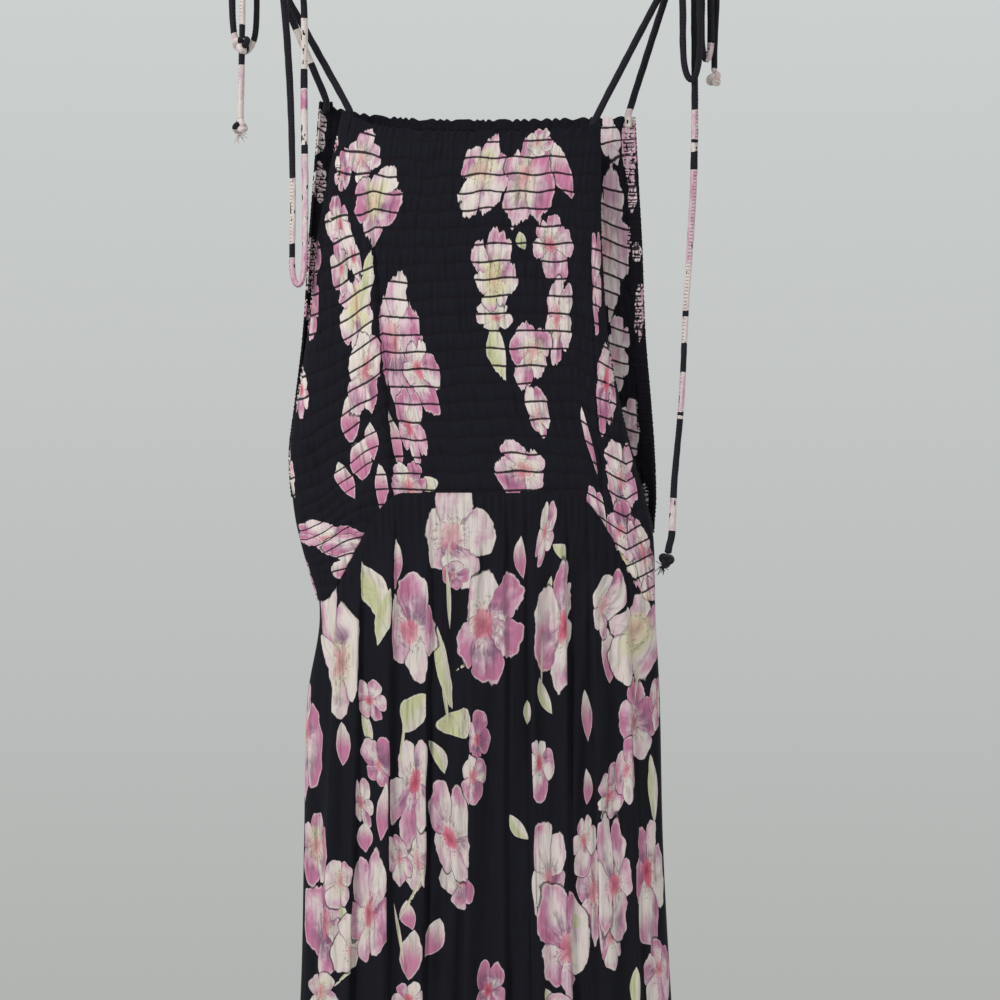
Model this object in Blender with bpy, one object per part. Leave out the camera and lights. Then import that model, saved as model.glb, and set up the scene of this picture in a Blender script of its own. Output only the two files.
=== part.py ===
"""A tiered maxi dress with a shirred bodice and tie straps, hanging on a plain hanger.

Lengths are in millimetres until a mesh is made, which turns them into metres. +Z is up and the dress
faces -Y. The origin is the underside of the hook's crown, where the hanger hangs.
"""
import math
from collections import namedtuple

import bpy
from mathutils import Vector

MM = 0.001

# Cloth and seams
CLOTH = 2.0                 # thickness of a wall, hems and gathers included
SEAM_GAP = 0.3              # between neighbouring pieces
HALF_GAP = SEAM_GAP / 2
WAIST_HALF_GAP = 0.2        # measured upright, because the waist seam slopes at the sides
ROUNDNESS = 0.7             # below 1 a panel is flatter across than an ellipse

# Heights
FRONT_TOP = -277.0          # middle of the front neckline
FRONT_CORNERS = (-257.0, -270.0)
FRONT_DIP = 2.2             # power of the curve from the middle of an edge up to its corners
BACK_TOP = -262.0           # middle of the back's top edge
BACK_CORNERS = (-246.0, -260.0)
BACK_DIP = 2.0
WAIST = -600.0              # waist seam at centre front
WAIST_DROP = 92.0           # how far the waist seam hangs lower at the side seams
TIER_SEAM = -1170.0
HEM = -1600.0

# Shirring
SHIRR_ROWS = 21
PUFF = 1.7                  # height of the cloth that bulges between two rows of elastic

# Mesh density
BODICE_COLUMNS = 16
SKIRT_COLUMNS = 48
TIER_COLUMNS = 96
STEPS_PER_ROW = 2
INSIDE_BANDS = 7
SKIRT_BANDS = 8
TIER_BANDS = 4

# Ties
TIE = 6.4                   # diameter of the rolled straps and ties
TIE_STEP = 2.9 * TIE        # distance between two points of a tie
KNOT_RADII = Vector((11.0, 9.0, 8.0))
END_KNOT = 6.6              # radius of the small knots at the ends

STRAP_INSET = 5.5           # of a strap from the edge of the panel that it holds
STRAP_RISE = 0.9            # of the lowest point of a strap's foot over the edge, which slopes

# Hanger
BAR_TOP = -75.0
BAR_FALL = 45.0
BAR_SPAN = 215.0            # where the fall is reached
BAR_END = 206.0
BAR_HEIGHT = 15.0
BAR_DEPTH = 10.0
BAR_EDGE = 2.0
NOTCH_AT = 182.6
NOTCH_DEPTH = 5.0
NOTCH_FLAT = 7.0            # half the length of a notch's level floor
NOTCH_CURVE = 0.35          # how steeply its ends rise, as a parabola
NOTCH_WAIST = 1.0           # the bar is this much thinner, on each face, in its notches
WIRE = 4.0
CROOK = 20.0                # radius of the hook's centre line

Section = namedtuple("Section", "height left right left_depth right_depth middle_depth")
Fold = namedtuple("Fold", "top_x low_x width depth")
Route = namedtuple("Route", "name leaves through reaches")

# The front bodice from its neckline to the waist. Edges are free down to the underarm, where their
# depth closes to the side seam.
BODICE_FRONT = (
    Section(-255, -114, 113, 8, 8, 19),
    Section(-321, -128, 113, 10, 10, 23),
    Section(-374, -137, 114, 11, 12, 25),
    Section(-453, -145, 119, 11, 13, 26),
    Section(-515, -155, 130, 9, 12, 27),
    Section(-560, -162, 141, 6, 9, 27),
    Section(-602, -160, 153, HALF_GAP, 5, 27),
    Section(-632, -155, 161, HALF_GAP, HALF_GAP, 28),
    Section(-700, -136, 163, HALF_GAP, HALF_GAP, 29),
)
BODICE_BACK = (
    Section(-245, -136, 144, 8, 8, 16),
    Section(-321, -142, 148, 10, 10, 20),
    Section(-374, -146, 151, 11, 11, 23),
    Section(-453, -151, 154, 11, 12, 24),
    Section(-515, -158, 159, 9, 11, 25),
    Section(-560, -163, 162, 6, 8, 26),
    Section(-602, -160, 163, HALF_GAP, 4, 26),
    Section(-632, -155, 161, HALF_GAP, HALF_GAP, 27),
    Section(-700, -136, 163, HALF_GAP, HALF_GAP, 28),
)
UNDERARM_LEFT = -602.0
UNDERARM_RIGHT = -632.0

# The skirt, from the waist to the tier seam, and the tier below it. Front and back share the sides.
SKIRT = (
    Section(-602, -160, 153, HALF_GAP, HALF_GAP, 28),
    Section(-640, -153, 161, HALF_GAP, HALF_GAP, 30),
    Section(-700, -136, 163, HALF_GAP, HALF_GAP, 34),
    Section(-780, -147, 167, HALF_GAP, HALF_GAP, 38),
    Section(-910, -150, 170, HALF_GAP, HALF_GAP, 41),
    Section(-1042, -153, 177, HALF_GAP, HALF_GAP, 44),
    Section(-1170, -162, 186, HALF_GAP, HALF_GAP, 46),
)
TIER = (
    Section(-1170, -162, 186, HALF_GAP, HALF_GAP, 46),
    Section(-1230, -172, 195, HALF_GAP, HALF_GAP, 50),
    Section(-1400, -190, 212, HALF_GAP, HALF_GAP, 56),
    Section(-1600, -208, 230, HALF_GAP, HALF_GAP, 62),
)

# Soft folds that stand forward: where each starts at the waist, where it ends at the tier seam, how
# wide it is and how far it stands out.
FRONT_FOLDS = (
    Fold(-118, -138, 11, 7),
    Fold(-98, -112, 9, 6),
    Fold(-70, -80, 12, 9),
    Fold(-38, -46, 9, 7),
    Fold(2, -6, 11, 9),
    Fold(28, 28, 8, 5),
    Fold(52, 58, 9, 7),
    Fold(80, 88, 8, 6),
    Fold(106, 118, 12, 9),
    Fold(134, 152, 10, 7),
)
BACK_FOLDS = (
    Fold(-122, -134, 10, 6),
    Fold(-92, -104, 11, 8),
    Fold(-60, -66, 9, 6),
    Fold(-30, -34, 12, 9),
    Fold(6, 4, 9, 6),
    Fold(34, 38, 10, 8),
    Fold(66, 74, 9, 6),
    Fold(98, 112, 12, 9),
    Fold(130, 146, 9, 6),
)
# The front bodice turns back along a soft fold at each side of its flat middle.
BODICE_FOLDS = (
    Fold(-100, -72, 16, 5),
    Fold(104, 122, 14, 4),
)
TIER_WAVES = 15             # gathers across one side of the tier
TIER_WAVE_DEPTH = 9.0

TRIM_SHARE = 0.82           # of the panel's first column that the armhole's edging covers
TRIM_THICK = 1.1
TRIM_WAVE = 1.3

NOTCH_FLOOR = BAR_TOP - BAR_FALL * (NOTCH_AT / BAR_SPAN) ** 1.3 - NOTCH_DEPTH
KNOT_HEIGHT = NOTCH_FLOOR + SEAM_GAP + KNOT_RADII.z
LEFT_KNOT = Vector((-NOTCH_AT, 0, KNOT_HEIGHT))
RIGHT_KNOT = Vector((NOTCH_AT, 0, KNOT_HEIGHT))
LEFT_MIDDLE_KNOT = Vector((-202.4, -31, -202))
LEFT_END_KNOT = Vector((-204, -31, -274))
RIGHT_SHORT_KNOT = Vector((215, -6, -228.5))
RIGHT_LONG_KNOT = Vector((172.5, -7, -656))


def clear_scene():
    for thing in list(bpy.data.objects):
        bpy.data.objects.remove(thing, do_unlink=True)


def material(name, colour, roughness, metallic=0.0):
    made = bpy.data.materials.new(name)
    made.use_nodes = True
    shader = made.node_tree.nodes["Principled BSDF"]
    shader.inputs["Base Color"].default_value = (*colour, 1)
    shader.inputs["Roughness"].default_value = roughness
    shader.inputs["Metallic"].default_value = metallic
    return made


def add_mesh(name, points, faces, finish, smooth_angle=40):
    mesh = bpy.data.meshes.new(name)
    mesh.from_pydata([tuple(v * MM for v in p) for p in points], [], faces)
    mesh.materials.append(finish)
    mesh.shade_smooth()
    mesh.set_sharp_from_angle(angle=math.radians(smooth_angle))
    thing = bpy.data.objects.new(name, mesh)
    bpy.context.scene.collection.objects.link(thing)
    return thing


def smooth(t):
    t = min(1.0, max(0.0, t))
    return t * t * (3 - 2 * t)


def read(table, column, height):
    """One column of a table of sections at a height, on a smooth curve through its rows."""
    heights = [row.height for row in table]
    values = [getattr(row, column) for row in table]
    if height >= heights[0]:
        return values[0]
    if height <= heights[-1]:
        return values[-1]
    k = next(i for i in range(len(heights) - 1) if height >= heights[i + 1])

    def slope(i):
        a, b = max(0, i - 1), min(len(values) - 1, i + 1)
        return (values[b] - values[a]) / (heights[b] - heights[a])

    span = heights[k + 1] - heights[k]
    t = (height - heights[k]) / span
    low, high = sorted((values[k], values[k + 1]))
    value = (
        (1 + 2 * t) * (1 - t) ** 2 * values[k]
        + t * (1 - t) ** 2 * span * slope(k)
        + t * t * (3 - 2 * t) * values[k + 1]
        - t * t * (1 - t) * span * slope(k + 1)
    )
    return min(high, max(low, value))


def turn(share):
    """The angle round half a tube, 0 to pi, for a share of the way across a panel."""
    even = math.pi * share
    level = math.acos(1 - 2 * share)
    return 0.45 * even + 0.55 * level


def section_point(table, left_height, right_height, share):
    """Where the plain front surface lies, as x and a depth towards the viewer."""
    angle = turn(share)
    left, right = read(table, "left", left_height), read(table, "right", right_height)
    near_left = (1 + math.cos(angle)) / 2
    mean = left_height * near_left + right_height * (1 - near_left)
    edge = (
        read(table, "left_depth", left_height) * near_left
        + read(table, "right_depth", right_height) * (1 - near_left)
    )
    middle = read(table, "middle_depth", mean)
    x = (left + right) / 2 - (right - left) / 2 * math.cos(angle)
    depth = edge + (middle - edge) * max(0.0, math.sin(angle)) ** ROUNDNESS
    return x, depth


def outward(points, i):
    """The unit normal, away from the hollow, of a section's line of (x, depth) points."""
    a, b = points[max(0, i - 1)], points[min(len(points) - 1, i + 1)]
    if i == 0:
        return -1.0, 0.0
    if i == len(points) - 1:
        return 1.0, 0.0
    dx, dd = b[0] - a[0], b[1] - a[1]
    size = math.hypot(dx, dd)
    return -dd / size, dx / size


class Panel:
    """One side of the garment between two edges that run across it.

    line(share, band) gives the plain surface as (x, depth, height). face is -1 for the front and 1
    for the back, and relief(column, step) is how far an outer point is raised.
    """

    def __init__(self, line, columns, steps, bands, face, relief=None, coarse=1):
        self.columns, self.face, self.coarse = columns, face, coarse
        self.outer, self.inner = [], []
        for j in range(steps + 1):
            row, normals = self.row(line, j / steps)
            lifted = []
            for i, (x, depth, height) in enumerate(row):
                lift = relief(i, j) if relief else 0.0
                nx, nd = normals[i]
                lifted.append((x + nx * lift, depth + nd * lift, height))
            self.outer.append(lifted)
        for j in range(bands + 1):
            row, normals = self.row(line, j / bands)
            self.inner.append(
                [
                    (x - nx * CLOTH, depth - nd * CLOTH, height)
                    for (x, depth, height), (nx, nd) in zip(row, normals)
                ]
            )

    def row(self, line, band):
        row = [line(i / self.columns, band) for i in range(self.columns + 1)]
        normals = [outward(row, i) for i in range(self.columns + 1)]
        if band == 0 and self.coarse > 1:
            row = self.straighten(row)
            normals = self.straighten(normals)
        return row, normals

    def straighten(self, values):
        """Puts the points between two corners of the coarser neighbour on the line that joins them."""
        out = []
        for i in range(len(values)):
            k, part = divmod(i, self.coarse)
            if part == 0:
                out.append(values[i])
                continue
            a, b = values[k * self.coarse], values[(k + 1) * self.coarse]
            t = part / self.coarse
            out.append(tuple(p + (q - p) * t for p, q in zip(a, b)))
        return out

    def place(self, point):
        x, depth, height = point
        return x, self.face * depth, height

    def build(self, name, finish):
        points, faces = [], []
        ids = []
        for grid in (self.outer, self.inner):
            table = []
            for row in grid:
                table.append(list(range(len(points), len(points) + len(row))))
                points.extend(self.place(p) for p in row)
            ids.append(table)
        outer, inner = ids
        for j in range(len(outer) - 1):
            for i in range(self.columns):
                faces.append((outer[j][i], outer[j + 1][i], outer[j + 1][i + 1], outer[j][i + 1]))
        for j in range(len(inner) - 1):
            for i in range(self.columns):
                faces.append((inner[j][i], inner[j][i + 1], inner[j + 1][i + 1], inner[j + 1][i]))
        for i in range(self.columns):
            faces.append((outer[0][i], outer[0][i + 1], inner[0][i + 1], inner[0][i]))
            faces.append((outer[-1][i + 1], outer[-1][i], inner[-1][i], inner[-1][i + 1]))
        self.edge(faces, [r[0] for r in outer], [r[0] for r in inner], False)
        self.edge(faces, [r[-1] for r in outer], [r[-1] for r in inner], True)
        if self.face > 0:
            faces = [tuple(reversed(f)) for f in faces]
        return add_mesh(name, points, faces, finish)

    def edge(self, faces, outer, inner, flip):
        """Closes a side edge, where one inner band faces several outer steps."""
        ratio = (len(outer) - 1) // (len(inner) - 1)
        for j in range(len(inner) - 1):
            middle = j * ratio + ratio // 2
            for k in range(j * ratio, (j + 1) * ratio):
                corner = inner[j] if k < middle else inner[j + 1]
                face = (corner, outer[k + 1], outer[k])
                faces.append(tuple(reversed(face)) if flip else face)
            face = (inner[j], inner[j + 1], outer[middle])
            faces.append(tuple(reversed(face)) if flip else face)


def waist_height(share):
    side = abs(2 * share - 1)
    return WAIST - WAIST_DROP * smooth((side - 0.40) / 0.52)


def top_edge(middle, corners, power, share):
    """A top edge: a gentle dip between two raised corners."""
    corner = corners[0] + (corners[1] - corners[0]) * share
    return middle + (corner - middle) * abs(2 * share - 1) ** power


def neck_height(share):
    return top_edge(FRONT_TOP, FRONT_CORNERS, FRONT_DIP, share)


def back_top_height(share):
    return top_edge(BACK_TOP, BACK_CORNERS, BACK_DIP, share)


def fold_lift(folds, x, fall, envelope):
    """How far the folds carry a point out. fall is 0 at their top and 1 at their foot."""
    lift = 0.0
    for fold in folds:
        middle = fold.top_x + (fold.low_x - fold.top_x) * fall
        lift += fold.depth * math.exp(-(((x - middle) / fold.width) ** 2))
    return lift * envelope


def bodice_line(table, top, folds):
    def line(share, band):
        def height_at(across):
            return top(across) + (waist_height(across) + WAIST_HALF_GAP - top(across)) * band

        x, depth = section_point(table, height_at(0), height_at(1), share)
        inset = smooth(min(share, 1 - share) / 0.12)
        lift = fold_lift(folds, x, band, inset * smooth(band / 0.3) * smooth((1 - band) / 0.1))
        return x, depth + lift, height_at(share)

    return line


def skirt_line(folds):
    def line(share, band):
        top = waist_height(share) - WAIST_HALF_GAP
        height = top + (TIER_SEAM + HALF_GAP - top) * band
        side_top = waist_height(0) - WAIST_HALF_GAP
        side = side_top + (TIER_SEAM + HALF_GAP - side_top) * band
        x, depth = section_point(SKIRT, side, side, share)
        inset = smooth(min(share, 1 - share) / 0.07)
        grown = smooth(band / 0.16) * (0.8 + 0.2 * band) * smooth((1 - band) / 0.1 + 0.35)
        return x, depth + fold_lift(folds, x, band, inset * grown), height

    return line


def tier_line(folds, offset):
    def line(share, band):
        height = TIER_SEAM - HALF_GAP + (HEM - TIER_SEAM + HALF_GAP) * band
        x, depth = section_point(TIER, height, height, share)
        inset = smooth(min(share, 1 - share) / 0.05)
        above = fold_lift(folds, x, 1.0, inset * smooth(0.35) * (1 - smooth(band / 0.3)))
        wave = math.cos(2 * math.pi * (TIER_WAVES * share + offset + 0.35 * math.sin(5 * share)))
        swell = (0.75 + 0.25 * math.sin(11 * share + offset)) * smooth(band / 0.35)
        lift = TIER_WAVE_DEPTH * 0.5 * (1 + wave) * swell * inset
        return x, depth + above + lift, height

    return line


def puff(column, step):
    """The relief of shirring: nothing on a row of elastic, a bulge between two rows."""
    edge = min(column, BODICE_COLUMNS - column)
    if edge < 2 or step % STEPS_PER_ROW == 0:
        return 0.0
    return PUFF * (0.85 + 0.15 * math.sin(2.4 * column + 1.3 * step))


def make_panels(print_cloth):
    steps = SHIRR_ROWS * STEPS_PER_ROW
    front = Panel(
        bodice_line(BODICE_FRONT, neck_height, BODICE_FOLDS), BODICE_COLUMNS, steps, INSIDE_BANDS, -1, puff
    )
    back = Panel(
        bodice_line(BODICE_BACK, back_top_height, ()), BODICE_COLUMNS, steps, INSIDE_BANDS, 1, puff
    )
    front.build("bodice_front", print_cloth("bodice_front_cloth"))
    back.build("bodice_back", print_cloth("bodice_back_cloth"))
    skirt_ratio = SKIRT_COLUMNS // BODICE_COLUMNS
    tier_ratio = TIER_COLUMNS // SKIRT_COLUMNS
    for name, face, folds, offset in (("front", -1, FRONT_FOLDS, 0.1), ("back", 1, BACK_FOLDS, 0.6)):
        skirt = Panel(
            skirt_line(folds), SKIRT_COLUMNS, SKIRT_BANDS, SKIRT_BANDS, face, coarse=skirt_ratio
        )
        skirt.build("skirt_" + name, print_cloth("skirt_%s_cloth" % name))
        tier = Panel(
            tier_line(folds, offset), TIER_COLUMNS, TIER_BANDS, TIER_BANDS, face, coarse=tier_ratio
        )
        tier.build("tier_" + name, print_cloth("tier_%s_cloth" % name))
    return front, back


def make_trim(name, panel, left, underarm, finish):
    """The gathered edging of an armhole, made from the panel's own points beside that edge."""
    first, second = (0, 1) if left else (-1, -2)
    side = -1 if left else 1
    rings = []
    for j, row in enumerate(panel.outer):
        rim, inside = Vector(row[first]), Vector(row[second])
        if rim.z < underarm:
            break
        across = (inside - rim) * TRIM_SHARE
        level = Vector((across.x, across.y, 0)).normalized()
        normal = Vector((-level.y, level.x, 0))
        if normal.y < 0:
            normal = -normal
        wave = TRIM_WAVE * (j % 2)
        low, high = normal * SEAM_GAP, normal * (SEAM_GAP + TRIM_THICK + wave)
        ring = [rim + low, rim + across + low, rim + across + high, rim + high]
        rings.append([panel.place(p) for p in ring])
    points = [p for ring in rings for p in ring]
    faces = []
    for j in range(len(rings) - 1):
        for k in range(4):
            a, b = 4 * j + k, 4 * j + (k + 1) % 4
            faces.append((a, b, b + 4, a + 4))
    last = 4 * (len(rings) - 1)
    faces.append((3, 2, 1, 0))
    faces.append((last, last + 1, last + 2, last + 3))
    if side * panel.face < 0:
        faces = [tuple(reversed(f)) for f in faces]
    return add_mesh(name, points, faces, finish)


def spline_points(route, spacing):
    """Points at an even spacing on a smooth curve through a route's own points. The short first and
    last stretches stay straight, so that the ends stand square to what they meet.
    """
    route = [Vector(p) for p in route]
    first, last = route[0], route[-1]
    route = route[1:-1]
    padded = [first, *route, last]
    fine = []
    parts = 24
    for k in range(1, len(padded) - 2):
        p0, p1, p2, p3 = padded[k - 1 : k + 3]
        for i in range(parts):
            t = i / parts
            fine.append(
                0.5
                * (
                    2 * p1
                    + (p2 - p0) * t
                    + (2 * p0 - 5 * p1 + 4 * p2 - p3) * t * t
                    + (3 * p1 - p0 - 3 * p2 + p3) * t * t * t
                )
            )
    fine.append(route[-1])
    run = [0.0]
    for a, b in zip(fine, fine[1:]):
        run.append(run[-1] + (b - a).length)
    count = max(3, round(run[-1] / spacing))
    out, k = [], 0
    for i in range(count + 1):
        target = run[-1] * i / count
        while k < len(run) - 2 and run[k + 1] < target:
            k += 1
        t = (target - run[k]) / max(1e-9, run[k + 1] - run[k])
        out.append(fine[k].lerp(fine[k + 1], min(1.0, t)))
    return [first, *out, last]


def add_tie(name, route, finish, diameter=TIE, spacing=TIE_STEP, sides=2):
    """A round tie or wire: a straight-pointed curve with a bevel and filled ends."""
    curve = bpy.data.curves.new(name, "CURVE")
    curve.dimensions = "3D"
    curve.bevel_depth = diameter / 2 * MM
    curve.bevel_resolution = sides
    curve.use_fill_caps = True
    points = spline_points(route, spacing)
    spline = curve.splines.new("POLY")
    spline.points.add(len(points) - 1)
    for target, point in zip(spline.points, points):
        target.co = (*(point * MM), 1)
    curve.materials.append(finish)
    thing = bpy.data.objects.new(name, curve)
    bpy.context.scene.collection.objects.link(thing)
    return thing


def leave(knot, direction):
    """Two points of a tie that comes straight out of a bow's knot."""
    way = Vector(direction).normalized()
    surface = Vector((KNOT_RADII.x * way.x, KNOT_RADII.y * way.y, KNOT_RADII.z * way.z))
    normal = Vector(
        (surface.x / KNOT_RADII.x**2, surface.y / KNOT_RADII.y**2, surface.z / KNOT_RADII.z**2)
    ).normalized()
    start = knot + surface + normal * (SEAM_GAP + 0.2)
    return start, start + normal * TIE * 0.7


def reach(knot, start):
    """Two points of a tie that comes from start straight into a small end knot."""
    way = (Vector(start) - knot).normalized()
    return knot + way * (END_KNOT + TIE), knot + way * (END_KNOT + SEAM_GAP)


# The ties that hang free, as seen in the photograph. Each leaves a bow's knot in a direction.
LOOPS = (
    Route(
        "tie_left_long_loop",
        (LEFT_KNOT, (0.1, -0.95, 0.35)),
        (
            (-179, -21, -112), (-171, -26, -136), (-165, -26, -172), (-160, -26, -250),
            (-158, -26, -340), (-158.5, -26, -398), (-153.2, -26, -413), (-148, -26, -398),
            (-147, -26, -340), (-148, -26, -250), (-148, -26, -172), (-152, -25, -140),
            (-161, -17, -116),
        ),
        (LEFT_KNOT, (0.75, -0.65, 0.1)),
    ),
    Route(
        "tie_left_loop",
        (LEFT_KNOT, (-0.65, -0.75, 0.1)),
        (
            (-193, -16.5, -117), (-191.3, -19, -136), (-190.5, -19, -166), (-192.5, -19, -194),
            (-201, -19, -206), (-209.5, -19, -194), (-212, -19, -166), (-212, -15, -136),
            (-209, -8, -112),
        ),
        (LEFT_KNOT, (-0.95, 0.2, 0.25)),
    ),
    Route(
        "tie_right_loop",
        (RIGHT_KNOT, (-0.35, -0.9, 0.3)),
        (
            (180, -20, -114), (183.5, -25, -134), (185.7, -26, -166), (186, -26, -205),
            (188.5, -26, -225), (193.4, -26, -232), (198.2, -26, -225), (200.6, -26, -205),
            (200.6, -26, -166), (196, -26, -134), (190, -21, -115),
        ),
        (RIGHT_KNOT, (0.35, -0.9, 0.3)),
    ),
    Route(
        "tie_right_wide_loop",
        (RIGHT_KNOT, (0.6, -0.1, 0.8)),
        (
            (198, -6, -93), (204.5, -11, -101), (204.6, -15, -122), (203.6, -15.5, -166),
            (203.8, -15.5, -200), (207.4, -15.5, -213), (211, -15.5, -200), (211.2, -15.5, -166),
            (211.4, -15, -138), (211.6, -12, -118), (210, -4, -104), (204, 4, -101),
        ),
        (RIGHT_KNOT, (0.85, 0.5, 0.1)),
    ),
)
ENDS = (
    Route(
        "tie_left_end_upper",
        (LEFT_KNOT, (-0.3, -0.3, 0.9)),
        ((-191, -12, -94), (-198, -23, -103), (-201, -29.5, -125), (-201.8, -31, -160)),
        LEFT_MIDDLE_KNOT,
    ),
    Route(
        "tie_right_short_end",
        (RIGHT_KNOT, (0.0, 0.3, 0.95)),
        (
            (191, 3, -89), (205, 1, -87), (216.5, -3, -95), (219.5, -5, -115),
            (217.5, -6, -150), (215.4, -6, -200),
        ),
        RIGHT_SHORT_KNOT,
    ),
    Route(
        "tie_right_long_end",
        (RIGHT_KNOT, (0.85, -0.5, 0.0)),
        (
            (195.5, -13.5, -116), (196, -16.5, -135), (196.3, -17, -166), (197, -17, -232),
            (197, -15, -280), (195.5, -11, -338), (190, -9, -426), (185.7, -8, -514),
            (179.5, -7, -585), (177.5, -7, -630),
        ),
        RIGHT_LONG_KNOT,
    ),
)


def make_ties(print_cloth):
    for route in LOOPS:
        start, next_point = leave(*route.leaves)
        end, before = leave(*route.reaches)
        add_tie(
            route.name,
            [start, next_point, *route.through, before, end],
            print_cloth(route.name + "_cloth"),
        )
    for route in ENDS:
        start, next_point = leave(*route.leaves)
        before, end = reach(route.reaches, route.through[-1])
        add_tie(
            route.name,
            [start, next_point, *route.through, before, end],
            print_cloth(route.name + "_cloth"),
        )
    middle = Vector((-203, -31, -238))
    after, start = reach(LEFT_MIDDLE_KNOT, middle)
    before, end = reach(LEFT_END_KNOT, middle)
    add_tie(
        "tie_left_end_lower", [start, after, middle, before, end], print_cloth("tie_left_end_lower_cloth")
    )


def add_knot(name, middle, radii, finish, around=12, rows=8):
    """A knot as a rounded bead, its poles up and down."""
    points = [(middle.x, middle.y, middle.z + radii.z)]
    for j in range(1, rows):
        polar = math.pi * j / rows
        for i in range(around):
            angle = 2 * math.pi * i / around
            points.append(
                (
                    middle.x + radii.x * math.sin(polar) * math.cos(angle),
                    middle.y + radii.y * math.sin(polar) * math.sin(angle),
                    middle.z + radii.z * math.cos(polar),
                )
            )
    points.append((middle.x, middle.y, middle.z - radii.z))
    last = len(points) - 1
    faces = []
    for i in range(around):
        k = (i + 1) % around
        faces.append((0, 1 + i, 1 + k))
        for j in range(rows - 2):
            a, b = 1 + j * around + i, 1 + j * around + k
            faces.append((a, a + around, b + around, b))
        base = 1 + (rows - 2) * around
        faces.append((last, base + k, base + i))
    return add_mesh(name, points, faces, finish, smooth_angle=80)


def make_knots(print_cloth):
    small = Vector((END_KNOT, END_KNOT, END_KNOT))
    add_knot("bow_knot_left", LEFT_KNOT, KNOT_RADII, print_cloth("bow_knot_left_cloth"))
    add_knot("bow_knot_right", RIGHT_KNOT, KNOT_RADII, print_cloth("bow_knot_right_cloth"))
    for name, middle in (
        ("end_knot_left_middle", LEFT_MIDDLE_KNOT),
        ("end_knot_left", LEFT_END_KNOT),
        ("end_knot_right_short", RIGHT_SHORT_KNOT),
        ("end_knot_right_long", RIGHT_LONG_KNOT),
    ):
        add_knot(name, middle, small, print_cloth(name + "_cloth"), around=10, rows=6)


def make_straps(front, back, print_cloth):
    """Four straps, from the corners of the bodice up to the two bows' knots."""
    for name, panel, left in (
        ("strap_front_left", front, True),
        ("strap_front_right", front, False),
        ("strap_back_left", back, True),
        ("strap_back_right", back, False),
    ):
        knot = LEFT_KNOT if left else RIGHT_KNOT
        inwards = 1 if left else -1
        corner = panel.outer[0][0 if left else -1]
        follow = panel.outer[0][1 if left else -2]
        column = abs(follow[0] - corner[0])
        base = Vector(corner).lerp(Vector(follow), STRAP_INSET / column)
        outer_side = Vector(corner).lerp(Vector(follow), (STRAP_INSET - TIE / 2) / column)
        depth = base.y - CLOTH * 0.8
        foot = Vector((base.x, panel.face * depth, outer_side.z + STRAP_RISE))
        end, before = leave(knot, (0.1 * inwards, 0.75 * panel.face, -0.65))
        below = Vector((before.x, panel.face * 8.6, before.z - 9))
        way = (below - foot).normalized()
        foot.z += TIE / 2 * math.hypot(way.x, way.y)
        above = foot + way * TIE
        middle = foot.lerp(below, 0.5) + Vector((0, panel.face * 1.0, 0))
        route = [foot, above, middle, below, before, end]
        add_tie(name, route, print_cloth(name + "_cloth"), spacing=4 * TIE)


def bar_line(x):
    """The bar's upper edge without its notches."""
    return BAR_TOP - BAR_FALL * (abs(x) / BAR_SPAN) ** 1.3


def bar_top(x):
    beyond = max(0.0, abs(abs(x) - NOTCH_AT) - NOTCH_FLAT)
    return min(bar_line(x), NOTCH_FLOOR + NOTCH_CURVE * beyond**2)


def make_bar(finish):
    stations = [0, 4, 30, 60, 90, 120, 150]
    stations += [NOTCH_AT + off for off in (-15, -11.5, -9.5, -7, -3.5, 0, 3.5, 7, 9.5, 11.5, 15)]
    stations += [202, BAR_END]
    xs = [-x for x in reversed(stations[1:])] + stations
    points, faces = [], []
    for x in xs:
        top = bar_top(x)
        dip = bar_line(x) - top
        low = top + dip - BAR_HEIGHT
        half = BAR_DEPTH / 2 - NOTCH_WAIST * dip / NOTCH_DEPTH
        cut = BAR_EDGE
        outline = (
            (-half + cut, top), (half - cut, top), (half, top - cut), (half, low + cut),
            (half - cut, low), (-half + cut, low), (-half, low + cut), (-half, top - cut),
        )
        points.extend((x, y, z) for y, z in outline)
    sides = 8
    for j in range(len(xs) - 1):
        for k in range(sides):
            a, b = sides * j + k, sides * j + (k + 1) % sides
            faces.append((a, a + sides, b + sides, b))
    faces.append(tuple(range(sides)))
    faces.append(tuple(reversed(range(sides * (len(xs) - 1), sides * len(xs)))))
    return add_mesh("hanger_bar", points, faces, finish, smooth_angle=25)


def make_hook(finish):
    """A wire crook whose underside, at its crown, is the origin, and its stem down to the bar."""
    middle = WIRE / 2 - CROOK
    arc = []
    for degrees in range(205, -31, -15):
        angle = math.radians(degrees)
        arc.append((CROOK * math.cos(angle), 0, middle + CROOK * math.sin(angle)))
    stem = [(5.5, 0, middle - CROOK - 4.5), (0.6, 0, middle - CROOK - 13), (0, 0, BAR_TOP + 8)]
    stem.append((0, 0, BAR_TOP + SEAM_GAP))
    return add_tie("hanger_hook", [*arc, *stem], finish, diameter=WIRE, spacing=4.5)


def main():
    clear_scene()

    def print_cloth(name):
        return material(name, (0.016, 0.016, 0.024), 0.75)

    front, back = make_panels(print_cloth)
    for side, left, underarm in (("left", True, UNDERARM_LEFT), ("right", False, UNDERARM_RIGHT)):
        for name, panel in (("front", front), ("back", back)):
            trim = "armhole_edge_%s_%s" % (name, side)
            make_trim(trim, panel, left, underarm, print_cloth(trim + "_cloth"))
    make_straps(front, back, print_cloth)
    make_knots(print_cloth)
    make_ties(print_cloth)
    make_bar(material("hanger_plastic", (0.72, 0.74, 0.75), 0.35))
    make_hook(material("hanger_steel", (0.62, 0.63, 0.64), 0.25, 1.0))


main()
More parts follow.
